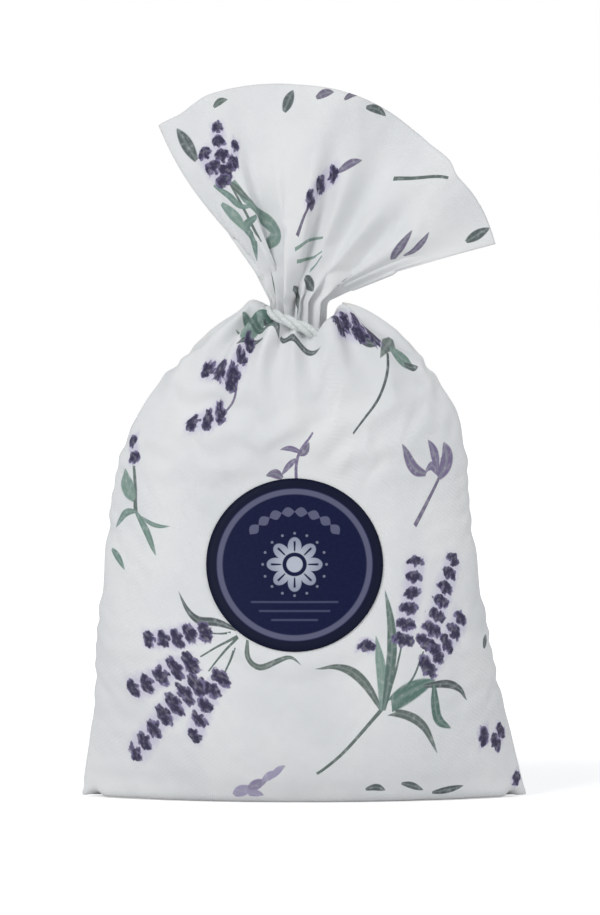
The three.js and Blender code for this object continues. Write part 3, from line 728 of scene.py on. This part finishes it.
# the print and the weave are reckoned by shader nodes
class Shade:
    """What a shader node puts out. Where that is a number, it is reckoned with as a number is."""

    def __init__(self, socket):
        self.socket = socket
        self.tree = socket.id_data

    def __add__(self, other):
        return reckon("ADD", self, other)

    def __sub__(self, other):
        return reckon("SUBTRACT", self, other)

    def __rsub__(self, other):
        return reckon("SUBTRACT", other, self)

    def __mul__(self, other):
        return reckon("MULTIPLY", self, other)

    def __truediv__(self, other):
        return reckon("DIVIDE", self, other)

    def __pow__(self, other):
        return reckon("POWER", self, other)

    def __abs__(self):
        return reckon("ABSOLUTE", self)


def feed(socket, value):
    """Gives a socket a shade, a colour or a number."""
    if isinstance(value, Shade):
        value.tree.links.new(value.socket, socket)
    elif isinstance(value, tuple):
        socket.default_value = (*value, 1)
    else:
        socket.default_value = value


def reckon(operation, *values):
    """The result of a Math node on shades and numbers, at least one of them a shade."""
    tree = next(value.tree for value in values if isinstance(value, Shade))
    node = tree.nodes.new("ShaderNodeMath")
    node.operation = operation
    for socket, value in zip(node.inputs, values):
        feed(socket, value)
    return Shade(node.outputs[0])


def distance(first, second):
    """The length of a step with these two sides."""
    return reckon("SQRT", first ** 2.0 + second ** 2.0)


def fade(value, start, end):
    """0 to 1 as a value goes from start to end, smoothly; start may be the higher one."""
    node = value.tree.nodes.new("ShaderNodeMapRange")
    node.interpolation_type = "SMOOTHSTEP"
    for name, given in (("Value", value), ("From Min", start), ("From Max", end)):
        feed(node.inputs[name], given)
    return Shade(node.outputs["Result"])


def blend_colour(share, first, second):
    """Two colours mixed by a share, each given as numbers or as a shade."""
    node = share.tree.nodes.new("ShaderNodeMix")
    node.data_type = "RGBA"
    # sockets of a Mix node share their names, so they go by number
    for number, value in ((0, share), (6, first), (7, second)):
        feed(node.inputs[number], value)
    return Shade(node.outputs[2])


def speckle(vector, scale, detail, output="Fac"):
    """A Noise Texture on a vector."""
    node = vector.tree.nodes.new("ShaderNodeTexNoise")
    for name, value in (("Vector", vector), ("Scale", scale), ("Detail", detail)):
        feed(node.inputs[name], value)
    return Shade(node.outputs[output])


def parts_of(vector):
    """The three numbers of a vector."""
    node = vector.tree.nodes.new("ShaderNodeSeparateXYZ")
    feed(node.inputs[0], vector)
    return [Shade(socket) for socket in node.outputs]


VECTOR = "NodeSocketVector"
NUMBER = "NodeSocketFloat"


def new_group(name, inputs, outputs):
    """An empty shader node group; returns its tree, what it is given and the sockets of what it makes."""
    tree = bpy.data.node_groups.new(name, "ShaderNodeTree")
    for socket, kind in inputs.items():
        tree.interface.new_socket(socket, in_out="INPUT", socket_type=kind)
    for socket in outputs:
        tree.interface.new_socket(socket, in_out="OUTPUT", socket_type=NUMBER)
    entry = tree.nodes.new("NodeGroupInput")
    leave = tree.nodes.new("NodeGroupOutput")
    return tree, {socket: Shade(entry.outputs[socket]) for socket in inputs}, leave.inputs


def use_group(tree, group, values):
    """Places a node group in a tree and feeds it; returns what it puts out, by name."""
    node = tree.nodes.new("ShaderNodeGroup")
    node.node_tree = group
    for name, value in values.items():
        feed(node.inputs[name], value)
    return {socket.name: Shade(socket) for socket in node.outputs}


def new_paint(name):
    """A material of that name, its node tree, and the inputs of its Principled BSDF."""
    paint = bpy.data.materials.new(name)
    paint.use_nodes = True
    return paint, paint.node_tree, paint.node_tree.nodes["Principled BSDF"].inputs


def flat_place(tree, name):
    """The place of a spot on the flat map of that name."""
    node = tree.nodes.new("ShaderNodeUVMap")
    node.uv_map = name
    return Shade(node.outputs["UV"])


def emboss(surface, height, strength, depth):
    """Lets a height stand out of a surface, by a Bump node."""
    bump = height.tree.nodes.new("ShaderNodeBump")
    for name, value in (("Strength", strength), ("Distance", depth), ("Height", height)):
        feed(bump.inputs[name], value)
    feed(surface["Normal"], Shade(bump.outputs["Normal"]))
    return bump


# a printed leaf or stem: where it covers the cloth, and its lighter rib
LEAF_START = 0.28
LEAF_SWEEP = 2.86
LEAF_FULLNESS = 0.8
STEM_TAPER = 0.4
stroke_print, given, made = new_group("printed stroke", {"Place": VECTOR, "Leafy": NUMBER}, ("Cover", "Rib"))
along, across, ink = parts_of(given["Place"])
leafy = given["Leafy"]
along_inside = reckon("MINIMUM", reckon("MAXIMUM", along, 0.0), 1.0)
leaf_form = reckon("SINE", along_inside * LEAF_SWEEP + LEAF_START) ** LEAF_FULLNESS
stem_form = 1.0 - along_inside * STEM_TAPER
form = leaf_form * leafy + stem_form * (1.0 - leafy)
beside = abs(across)
on_line = reckon("COMPARE", along, 0.5, 0.5) * reckon("GREATER_THAN", ink, 0.01)
feed(made["Cover"], fade(form - beside, -0.12, 0.14) * on_line)
feed(made["Rib"], fade(beside, 0.32, 0.08))

# a printed flower spike: whorls of small florets that get narrower to the tip, with a wash of lilac
WHORL_PITCH = 3.1
SPIKE_TAPER = 0.5
FLORET_REACH = 0.52
PETAL_OUT = 0.82
PETAL_UP = 0.57
PETAL_HALF_WIDTH = 0.74
BUD_HALF_LENGTH = 1.4
RAGGED_ALONG = 1.5
RAGGED_ACROSS = 0.9
RAGGED_DEPTH = 1.6
spike_print, given, made = new_group(
    "printed spike", {"Place": VECTOR, "Grain": VECTOR}, ("Cover", "Depth", "Wash")
)
along, across, length = parts_of(given["Place"])
grain_x, grain_y, grain_z = parts_of(given["Grain"])
along = along + grain_x * RAGGED_ALONG
across = across + grain_y * RAGGED_ACROSS
real_length = reckon("MAXIMUM", length, 1.0)
share = along / real_length
pitch = real_length / reckon("MAXIMUM", reckon("ROUND", real_length / WHORL_PITCH), 1.0)
up_whorl = (reckon("FRACT", along / pitch) - 0.5) * pitch
half_width = 1.0 - share * SPIKE_TAPER
beside = abs(across)
side_x = beside - half_width * FLORET_REACH
side_y = up_whorl * 0.6 - 0.1
petal_along = side_x * PETAL_OUT + side_y * PETAL_UP
petal_beside = side_y * PETAL_OUT - side_x * PETAL_UP
petal = distance(petal_along / (half_width * 0.56 + 0.14), petal_beside / PETAL_HALF_WIDTH)
bud = distance(across / (half_width * 0.55), (up_whorl + 0.2) / BUD_HALF_LENGTH)
floret = reckon("MINIMUM", petal, bud)
inked = reckon("GREATER_THAN", length, 0.01)
ends = fade(share, -0.05, 0.15) * fade(share, 1.05, 0.85)
feed(made["Cover"], fade(floret, 1.1, 0.85) * (reckon("COMPARE", share, 0.5, 0.5) * inked))
feed(made["Depth"], floret + grain_z * RAGGED_DEPTH)
feed(made["Wash"], fade(beside, 1.5, 0.5) * ends * inked)

# plain weave: threads that pass over and under each other, and the slubs of the yarn
weave, given, made = new_group(
    "plain weave", {"Place": VECTOR, "Threads per metre": NUMBER}, ("Height", "Slub")
)
warp, weft = [part * given["Threads per metre"] for part in parts_of(given["Place"])[:2]]
warp_round = abs(reckon("SINE", warp * math.pi))
weft_round = abs(reckon("SINE", weft * math.pi))
warp_over = reckon("PINGPONG", reckon("FLOOR", warp) + reckon("FLOOR", weft), 1.0)
feed(made["Height"], warp_round * warp_over + weft_round * (1.0 - warp_over))
feed(made["Slub"], speckle(given["Place"], 900.0, 3.0))

THREADS_PER_METRE = 2400.0
WEAVE_RELIEF = 0.07 * MM
WASH_SHARE = 0.58
RIB_SHARE = 0.3
COTTON_WHITE = (0.79, 0.795, 0.80)
COTTON_SHADE = (0.71, 0.72, 0.735)
# the next colour is painted shade for the gaps between the threads
THREAD_GAP_SHADE = (0.45, 0.46, 0.49)
LILAC_WASH = (0.50, 0.47, 0.66)
FLORET_DARK = (0.034, 0.030, 0.068)
FLORET_LIGHT = (0.19, 0.165, 0.30)
LEAF_RIB = (0.36, 0.42, 0.40)
INKS = [
    (0.00, (0.070, 0.080, 0.095)),
    (0.30, (0.130, 0.165, 0.150)),
    (0.60, (0.085, 0.165, 0.140)),
    (0.78, (0.240, 0.340, 0.300)),
    (0.84, (0.165, 0.145, 0.205)),
    (0.95, (0.195, 0.160, 0.275)),
    (1.00, (0.380, 0.340, 0.500)),
]


def places_on(tree, kind):
    """Where a spot lies along and beside each of the strokes of a kind that cross it."""
    places = []
    for number in range(1, LAYERS[kind] + 1):
        note = tree.nodes.new("ShaderNodeAttribute")
        note.attribute_name = f"{kind}_{number}"
        places.append(Shade(note.outputs["Vector"]))
    return places


def printed_cotton(name, strength):
    """White plain-weave cotton with the lavender print; strength is 1 on the face, less on the back."""
    paint, tree, surface = new_paint(name)
    flat = flat_place(tree, "cloth")
    threads = use_group(tree, weave, {"Place": flat, "Threads per metre": THREADS_PER_METRE})
    colour = blend_colour(fade(speckle(flat, 45.0, 3.0), 0.3, 0.75), COTTON_WHITE, COTTON_SHADE)
    # painted shade: the cloth is a little darker between the threads, where the weave sinks
    colour = blend_colour(fade(threads["Height"], 0.55, 0.1) * 0.10, colour, THREAD_GAP_SHADE)
    ragged = tree.nodes.new("ShaderNodeVectorMath")
    ragged.operation = "SUBTRACT"
    feed(ragged.inputs[0], speckle(flat, 800.0, 2.0, "Color"))
    ragged.inputs[1].default_value = (0.5, 0.5, 0.5)
    grain = Shade(ragged.outputs[0])
    worn = (fade(threads["Slub"], 0.2, 0.55) * 0.3 + 0.7) * strength
    spikes = []
    for place in places_on(tree, "spike"):
        spikes.append(use_group(tree, spike_print, {"Place": place, "Grain": grain}))
    washed = reckon("MAXIMUM", *[spike["Wash"] for spike in spikes])
    colour = blend_colour(washed * (WASH_SHARE * strength), colour, LILAC_WASH)
    for kind, leafy in (("stem", 0.0), ("leaf", 1.0)):
        for place in places_on(tree, kind):
            stroke = use_group(tree, stroke_print, {"Place": place, "Leafy": leafy})
            inks = tree.nodes.new("ShaderNodeValToRGB")
            while len(inks.color_ramp.elements) < len(INKS):
                inks.color_ramp.elements.new(0.5)
            for element, (position, tone) in zip(inks.color_ramp.elements, INKS):
                element.position = position
                element.color = (*tone, 1)
            feed(inks.inputs["Fac"], parts_of(place)[2])
            ribbed = stroke["Rib"] * (RIB_SHARE * leafy)
            tone = blend_colour(ribbed, Shade(inks.outputs["Color"]), LEAF_RIB)
            colour = blend_colour(stroke["Cover"] * worn, colour, tone)
    for spike in spikes:
        tone = blend_colour(fade(spike["Depth"], 0.45, 1.15), FLORET_DARK, FLORET_LIGHT)
        colour = blend_colour(spike["Cover"] * worn, colour, tone)
    feed(surface["Base Color"], colour)
    feed(surface["Roughness"], threads["Slub"] * 0.12 + 0.80)
    surface["Specular IOR Level"].default_value = 0.25
    surface["Sheen Weight"].default_value = 0.12
    surface["Sheen Roughness"].default_value = 0.6
    emboss(surface, threads["Slub"] * 0.8 + threads["Height"], 0.4, WEAVE_RELIEF)
    return paint


cotton_face = printed_cotton("printed_cotton", 1.0)
cotton_back = printed_cotton("printed_cotton_reverse", 0.22)

# Pouch
# The filled bag below the tie: printed cotton with its side seams turned in, full of dried buds, so that it
# swells at the belly, stands on a flat base with eared corners, and is drawn into pleats under the tie.

# the cloth is parted at the neck, where it keeps the normals that it had as one
NECK_LINE = (BODY_ROWS - 1 + NECK_ROWS) / last_row * CLOTH_LENGTH
normals = listed(whole.vertex_normals, "vector", 3, np.float32)
whole.attributes.new("lay", "FLOAT_VECTOR", "POINT").data.foreach_set("vector", normals.ravel())


def shade_as_one(mesh, outside):
    """Gives the outside of the neck the normals it had before the cloth was parted, so that no line shows."""
    lay = listed(mesh.attributes["lay"].data, "vector", 3, np.float32)
    normals = listed(mesh.vertex_normals, "vector", 3, np.float32)
    heights = listed(mesh.vertices, "co", 3, np.float32)[:, 2] / MM
    at_neck = np.abs(heights - RUFF_START) < 3
    at_neck[outside:] = False
    normals[at_neck] = lay[at_neck]
    mesh.normals_split_custom_set_from_vertices(normals)
    mesh.attributes.remove(mesh.attributes["lay"])


def part_of_bag(above):
    """The bag's cloth above or below the neck line, as a bmesh."""
    part = bmesh.new()
    part.from_mesh(whole)
    flat_map = part.loops.layers.uv["cloth"]
    spare = []
    for face in part.faces:
        level = sum(corner[flat_map].uv.y for corner in face.loops) / len(face.loops)
        if (level > NECK_LINE) != above:
            spare.append(face)
    bmesh.ops.delete(part, geom=spare, context="FACES")
    for layer in ("row", "column"):
        part.verts.layers.int.remove(part.verts.layers.int[layer])
    return part


pouch = part_of_bag(above=False)
pouch_outside = len(pouch.verts)

# a lid, hidden by the ruff, closes it at the neck
rim = [edge for edge in pouch.edges if edge.is_boundary]
rim_middle = sum((end.co for edge in rim for end in edge.verts), Vector()) / (2 * len(rim))
lid = bmesh.ops.extrude_edge_only(pouch, edges=rim)["geom"]
lid_corners = [end for end in lid if isinstance(end, bmesh.types.BMVert)]
bmesh.ops.pointmerge(pouch, verts=lid_corners, merge_co=rim_middle)
for face in pouch.faces:
    face.smooth = True
pouch_cloth = new_piece("pouch_cloth", mesh_of(pouch, "pouch_cloth"))
shade_as_one(pouch_cloth.data, pouch_outside)
pouch_cloth.data.materials.append(cotton_face)
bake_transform(pouch_cloth)
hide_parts("front_panel", "back_panel")

# Ruff
# The loose end of the same cloth above the tie, cut straight and fanned out by the gathers. The print shows
# faintly through on its inner side.
CLOTH_THICKNESS = 0.35 * MM
ruff_part = part_of_bag(above=True)
ruff_outside = len(ruff_part.verts)
ruff_cloth = new_piece("ruff_cloth", mesh_of(ruff_part, "ruff_cloth"))
ruff_cloth.data.materials.append(cotton_face)
ruff_cloth.data.materials.append(cotton_back)
thick = ruff_cloth.modifiers.new("Thick", "SOLIDIFY")
thick.thickness = CLOTH_THICKNESS
thick.offset = -1
thick.material_offset = 1
thick.material_offset_rim = 0
ruff_mesh = finished(ruff_cloth)
ruff_cloth.modifiers.clear()
ruff_cloth.data = ruff_mesh
ruff_mesh.name = "ruff_cloth"
shade_as_one(ruff_mesh, ruff_outside)
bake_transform(ruff_cloth)
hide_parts("ruff_front", "ruff_back", "neck_gather")

# Tie and knot
# A soft cotton cord of three plies, drawn once round the neck on a slant and knotted at the back, with two
# short tails.
CORD_WIDTH = 2.4
CORD_LAY = 10.0
PLY_SHARE = 0.26
LOOP_RADIUS = 7.1
LOOP_ENDS = [(3.0, 7.4), (2.2, 8.9)]
KNOT_LENGTH = 5.4
KNOT_TWIST = 1.15
HALF_KNOTS = [(8.9, 0.0, 1), (11.1, -0.5, -1)]
TAILS = [
    [(-2.2, 11.4, -0.6), (-3.4, 12.6, -1.4), (-4.0, 13.2, -3.4), (-4.6, 13.2, -5.6), (-4.4, 13.5, -7.4)],
    [(2.2, 11.4, -0.2), (3.5, 12.5, -0.8), (4.2, 13.3, -2.6), (4.4, 13.3, -4.8), (5.0, 13.5, -6.6)],
]
CORD_SHADE = (0.58, 0.61, 0.605)
CORD_PALE = (0.75, 0.775, 0.77)


def plies(line, width):
    """The lines of three plies that twist round each other along a line, in millimetres."""
    line = np.array(line)
    steps = np.gradient(line, axis=0)
    steps /= np.linalg.norm(steps, axis=1)[:, None]
    side = np.cross(steps[0], (0.0, 0.0, 1.0) if abs(steps[0][2]) < 0.9 else (1.0, 0.0, 0.0))
    twisted = [[], [], []]
    for point, step, way in zip(line, steps, way_along(line)):
        side = side - step * side.dot(step)
        side = side / np.linalg.norm(side)
        up = np.cross(step, side)
        for k in range(3):
            turn = 2 * math.pi * (way / CORD_LAY + k / 3)
            twisted[k].append(point + width * PLY_SHARE * (side * math.cos(turn) + up * math.sin(turn)))
    return twisted


def cord_piece(name, lines, radius, paint):
    """A piece of round strands along lines given in millimetres."""
    curve = bpy.data.curves.new(name, "CURVE")
    curve.dimensions = "3D"
    curve.bevel_depth = radius * MM
    curve.bevel_resolution = 2
    curve.use_fill_caps = True
    for line in lines:
        strand = curve.splines.new("POLY")
        strand.points.add(len(line) - 1)
        for point, place in zip(strand.points, line):
            point.co = (*(np.array(place) * MM), 1)
    drawn = new_piece(name, curve)
    mesh = finished(drawn)
    bpy.data.objects.remove(drawn)
    for face in mesh.polygons:
        face.use_smooth = True
    mesh.materials.append(paint)
    return new_piece(name, mesh)


def in_tie_plane(across, away):
    """A point of the slanted plane of the tie: across the front, and away from it to the back."""
    return (NECK_X + across * math.cos(TIE_SLANT), away, TIE_HEIGHT - across * math.sin(TIE_SLANT))


def object_place(tree):
    """The place of a spot on its piece, in metres."""
    return Shade(tree.nodes.new("ShaderNodeTexCoord").outputs["Object"])


cord_cotton, tree, surface = new_paint("cotton_cord")
fibres = speckle(object_place(tree), 2600.0, 4.0)
feed(surface["Base Color"], blend_colour(fade(fibres, 0.25, 0.75), CORD_SHADE, CORD_PALE))
feed(surface["Roughness"], fibres * 0.2 + 0.7)
surface["Sheen Weight"].default_value = 0.2
emboss(surface, fibres, 0.5, 0.0001)
loop = [in_tie_plane(across, away) for across, away in reversed(LOOP_ENDS)]
for turn in np.radians(np.linspace(58, -238, 41)):
    loop.append(in_tie_plane(LOOP_RADIUS * math.cos(turn), LOOP_RADIUS * math.sin(turn)))
loop += [in_tie_plane(-across, away) for across, away in LOOP_ENDS]
tie = cord_piece("tie_cord", plies(through(loop, 6), CORD_WIDTH), CORD_WIDTH * PLY_SHARE, cord_cotton)
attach(tie, "pouch")
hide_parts("neck_tie")

# two half knots of two strands each, twisted opposite ways, and the tails
knot_lines = []
for away, drop, way in HALF_KNOTS:
    for start in (0, math.pi):
        strand = []
        for share in np.linspace(0, 1, 19):
            turn = start + way * 2 * math.pi * share
            x = NECK_X + KNOT_LENGTH * (share - 0.5)
            z = TIE_HEIGHT + drop + KNOT_TWIST * math.cos(turn)
            strand.append((x, away + KNOT_TWIST * math.sin(turn), z))
        knot_lines += plies(strand, CORD_WIDTH * 0.95)
for tail in TAILS:
    tail = [(NECK_X + x, y, TIE_HEIGHT + z) for x, y, z in tail]
    knot_lines += plies(through(tail, 6), CORD_WIDTH * 0.9)
knot = cord_piece("tie_knot_cord", knot_lines, CORD_WIDTH * PLY_SHARE, cord_cotton)
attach(knot, "pouch")
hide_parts("tie_knot")

# Label
# A round sticker of coated navy paper on the front. It is printed in silver: a ring near the edge, a
# garland of leaves, a plain rosette and fine rules. It lies on the cloth and takes its gentle curve.
LABEL_THICKNESS = 0.25 * MM
LABEL_LIFT = 0.08 * MM
RING_RADIUS = 14.8
RIM_START = 15.4
EYE_RADIUS = 2.0
DOTS_RADIUS = 6.3
GARLAND_RADIUS = 10.7
GARLAND_LEAVES = 13.0
GARLAND_END = 4 * math.pi / GARLAND_LEAVES
RULES = [(-7.6, 8.6), (-9.4, 7.0), (-11.2, 4.6)]
NAVY = (0.0035, 0.0060, 0.034)
NAVY_PALE = (0.0060, 0.0090, 0.044)
RIM_NAVY = (0.004, 0.006, 0.022)
RING_GREY = (0.125, 0.13, 0.21)
RULE_GREY = (0.080, 0.085, 0.16)
GARLAND_GREY = (0.15, 0.155, 0.25)
DOT_SILVER = (0.30, 0.32, 0.42)
EYE_SILVER = (0.50, 0.53, 0.61)
PETAL_SILVER = (0.30, 0.33, 0.43)
label_tilt = math.cos(math.atan(label_curve[2]))
disc = bmesh.new()
label_map = disc.loops.layers.uv.new("label")
line = [disc.verts.new((LABEL_RADIUS * k / 14, 0, 0)) for k in range(15)]
edges = [disc.edges.new(pair) for pair in zip(line, line[1:])]
bmesh.ops.spin(
    disc, geom=line + edges, cent=(0, 0, 0), axis=(0, 0, 1), angle=2 * math.pi, steps=96, use_merge=True
)
bmesh.ops.remove_doubles(disc, verts=disc.verts, dist=1e-6)
bmesh.ops.recalc_face_normals(disc, faces=disc.faces)
for face in disc.faces:
    face.smooth = True
    for corner in face.loops:
        corner[label_map].uv = corner.vert.co.xy
for vertex in disc.verts:
    x = label_x + vertex.co.x
    z = label_z + vertex.co.y * label_tilt
    vertex.co = (x, float(label_terms(np.array(x), np.array(z)) @ label_curve) - LABEL_LIFT, z)
label_sticker = new_piece("label_sticker", mesh_of(disc, "label_sticker"))
thick = label_sticker.modifiers.new("Thick", "SOLIDIFY")
thick.thickness = LABEL_THICKNESS
thick.offset = 1
label_mesh = finished(label_sticker)
label_sticker.modifiers.clear()
label_sticker.data = label_mesh

# the printing of the label, in millimetres from its middle
label_paper, tree, surface = new_paint("label_paper")
flat = flat_place(tree, "label")
flat_x, flat_y = [part * 1000.0 for part in parts_of(flat)[:2]]
radius = distance(flat_x, flat_y)
turn = reckon("ARCTAN2", flat_y, flat_x)
ring = fade(abs(radius - RING_RADIUS), 0.75, 0.35)
petals = abs(reckon("COSINE", turn * 4.0))
rosette = fade(radius - (petals ** 0.7 * 2.2 + 3.3), 0.15, -0.15)
eye_ring = fade(abs(radius - EYE_RADIUS), 0.5, 0.3)
petal_veins = fade(petals, 0.965, 0.995) * fade(radius, 2.4, 2.9) * fade(radius, 4.9, 4.5)
rosette = rosette * (1.0 - reckon("MAXIMUM", eye_ring, petal_veins))
dot_across = abs(reckon("SINE", turn * 8.0)) * 0.78
dots = fade(distance(dot_across, radius - DOTS_RADIUS), 0.34, 0.20)
garland_leaf = abs(reckon("COSINE", turn * GARLAND_LEAVES)) * 0.95 + 0.02
garland = fade(abs(radius - GARLAND_RADIUS) - garland_leaf, 0.12, -0.12)
garland = garland * fade(abs(turn - math.pi / 2), GARLAND_END + 0.005, GARLAND_END - 0.005)
rules = None
for level, half_length in RULES:
    rule = fade(abs(flat_y - level), 0.30, 0.12) * fade(abs(flat_x), half_length + 0.2, half_length - 0.2)
    rules = rule if rules is None else reckon("MAXIMUM", rules, rule)
fibre = speckle(flat, 1500.0, 3.0)
tone = blend_colour(fade(fibre, 0.3, 0.7), NAVY, NAVY_PALE)
tone = blend_colour(fade(radius, RIM_START, RIM_START + 0.4), tone, RIM_NAVY)
silver = blend_colour(fade(radius, 1.5, 5.5), EYE_SILVER, PETAL_SILVER)
for inked, strength, ink in (
    (ring, 0.85, RING_GREY),
    (rules, 0.7, RULE_GREY),
    (garland, 0.7, GARLAND_GREY),
    (dots, 0.6, DOT_SILVER),
    (rosette, 0.92, silver),
):
    tone = blend_colour(inked * strength, tone, ink)
feed(surface["Base Color"], tone)
feed(surface["Roughness"], fibre * 0.15 + 0.48)
surface["Specular IOR Level"].default_value = 0.1
emboss(surface, fibre, 0.25, 0.00004)
label_mesh.materials.append(label_paper)
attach(label_sticker, "pouch")
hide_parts("label")

# Filling
# Dried lavender buds, poured loose into the bag before it is tied. They aren't seen from outside, and keep
# their shape from the frame.
BUDS_PER_METRE = 420.0
BUD_VIOLET = (0.10, 0.09, 0.19)
BUD_GREY = (0.20, 0.19, 0.22)
# the next colour is painted shade for the gaps between the buds
BUD_GAP_SHADE = (0.05, 0.05, 0.06)
buds, tree, surface = new_paint("lavender_buds")
grains = tree.nodes.new("ShaderNodeTexVoronoi")
grains.inputs["Scale"].default_value = BUDS_PER_METRE
feed(grains.inputs["Vector"], object_place(tree))
from_bud = Shade(grains.outputs["Distance"])
tone = blend_colour(parts_of(Shade(grains.outputs["Color"]))[0], BUD_VIOLET, BUD_GREY)
# painted shade: darker in the gaps between the buds
feed(surface["Base Color"], blend_colour(fade(from_bud, 0.25, 0.6), tone, BUD_GAP_SHADE))
surface["Roughness"].default_value = 0.9
emboss(surface, from_bud, 1.0, 0.001).invert = True
fill_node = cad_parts["lavender_fill"]
fill_node.data.materials.clear()
fill_node.data.materials.append(buds)

# Seam threads
# White sewing thread: a row of lockstitch closes each side and the bottom, just inside the turned edge of the
# cloth.
THREAD_WIDTH = 0.5
STITCH = 2.5
STITCH_DIP = 0.2
SEAM_INSET = 1.1
THREAD_SHADE = (0.70, 0.69, 0.65)
THREAD_PALE = (0.85, 0.84, 0.80)
thread, tree, surface = new_paint("sewing_thread")
twist = speckle(object_place(tree), 3000.0, 2.0)
feed(surface["Base Color"], blend_colour(fade(twist, 0.3, 0.7), THREAD_SHADE, THREAD_PALE))
feed(surface["Roughness"], twist * 0.3 + 0.55)


def stitched(name, seam, inward, node):
    """A row of stitches along a seam, set in from it, that dips from one side of the cloth to the other."""
    line = spaced(seam + np.array(inward) * SEAM_INSET, 160)
    line[:, 1] += STITCH_DIP * np.sin(2 * math.pi * way_along(line) / STITCH)
    piece = cord_piece(name, [line], THREAD_WIDTH / 2, thread)
    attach(piece, "pouch")
    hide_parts(node)


stitched("left_seam_stitches", side_seams[0], (1, 0, 0), "left_seam_thread")
stitched("right_seam_stitches", side_seams[1], (-1, 0, 0), "right_seam_thread")
stitched("bottom_seam_stitches", bottom_seam, (0, 0, 1), "bottom_seam_thread")

# Studio
# A pale floor and a white wall, under soft light from the upper left front, with a fill from the right and a
# lamp behind. The camera is about level with the middle of the bag.
BAG_MIDDLE = Vector((0, 0, 0.06))
GLOW_START = 0.06
GLOW_FULL = 0.35
FLOOR_GLOW = 0.45
bpy.context.scene.view_settings.view_transform = "Standard"


def seen_directly(tree):
    """1 for what is seen by the camera, in a gloss or through glass, and 0 for what only gives light."""
    rays = tree.nodes.new("ShaderNodeLightPath").outputs
    mirrored = reckon("MAXIMUM", Shade(rays["Is Glossy Ray"]), Shade(rays["Is Transmission Ray"]))
    return reckon("MAXIMUM", Shade(rays["Is Camera Ray"]), mirrored)


bpy.ops.mesh.primitive_plane_add(size=8)
floor = bpy.context.object
floor.name = "floor"
floor_paint, tree = new_paint("floor")[:2]
tree.nodes.clear()
leave = tree.nodes.new("ShaderNodeOutputMaterial")
matt = tree.nodes.new("ShaderNodeBsdfDiffuse")
matt.inputs["Color"].default_value = (0.8, 0.8, 0.8, 1)
glow = tree.nodes.new("ShaderNodeEmission")
both = tree.nodes.new("ShaderNodeAddShader")
from_middle = tree.nodes.new("ShaderNodeVectorMath")
from_middle.operation = "LENGTH"
feed(from_middle.inputs[0], object_place(tree))
lift = fade(Shade(from_middle.outputs["Value"]), GLOW_START, GLOW_FULL) * FLOOR_GLOW + FLOOR_GLOW
feed(glow.inputs["Strength"], seen_directly(tree) * lift)
tree.links.new(matt.outputs[0], both.inputs[0])
tree.links.new(glow.outputs[0], both.inputs[1])
tree.links.new(both.outputs[0], leave.inputs["Surface"])
floor.data.materials.append(floor_paint)

world = bpy.data.worlds.new("studio")
bpy.context.scene.world = world
world.use_nodes = True
tree = world.node_tree
tree.nodes.clear()
leave = tree.nodes.new("ShaderNodeOutputWorld")
soft_sky = tree.nodes.new("ShaderNodeBackground")
soft_sky.inputs["Color"].default_value = (0.95, 0.98, 1.0, 1)
soft_sky.inputs["Strength"].default_value = 0.50
white_wall = tree.nodes.new("ShaderNodeBackground")
white_wall.inputs["Color"].default_value = (1, 1, 1, 1)
choose = tree.nodes.new("ShaderNodeMixShader")
feed(choose.inputs["Fac"], seen_directly(tree))
tree.links.new(soft_sky.outputs[0], choose.inputs[1])
tree.links.new(white_wall.outputs[0], choose.inputs[2])
tree.links.new(choose.outputs[0], leave.inputs["Surface"])


def softbox(name, place, watts, size):
    """A square lamp at a place, turned to shine at the middle of the bag."""
    lamp = bpy.data.lights.new(name, "AREA")
    lamp.energy = watts
    lamp.size = size
    stand = new_piece(name, lamp)
    stand.location = place
    stand.rotation_euler = (BAG_MIDDLE - Vector(place)).to_track_quat("-Z", "Y").to_euler()


softbox("window", (-0.55, -0.75, 0.66), 4.9, 0.40)
softbox("fill", (0.70, -0.65, 0.30), 1.6, 0.6)
softbox("back", (0.30, 0.85, 0.55), 1.6, 0.6)

FRAME_HEIGHT = 183.0
lens = bpy.data.cameras.new("camera")
camera = new_piece("camera", lens)
back_off = Vector((0, -math.cos(VIEW_RISE), math.sin(VIEW_RISE)))
camera.location = (Vector((VIEW_X, 0, VIEW_Z)) + back_off * VIEW_DISTANCE) * MM
camera.rotation_euler = (-back_off).to_track_quat("-Z", "Y").to_euler()
lens.sensor_width = 36
lens.lens = lens.sensor_width * VIEW_DISTANCE / FRAME_HEIGHT
lens.clip_start = 0.05
bpy.context.scene.camera = camera
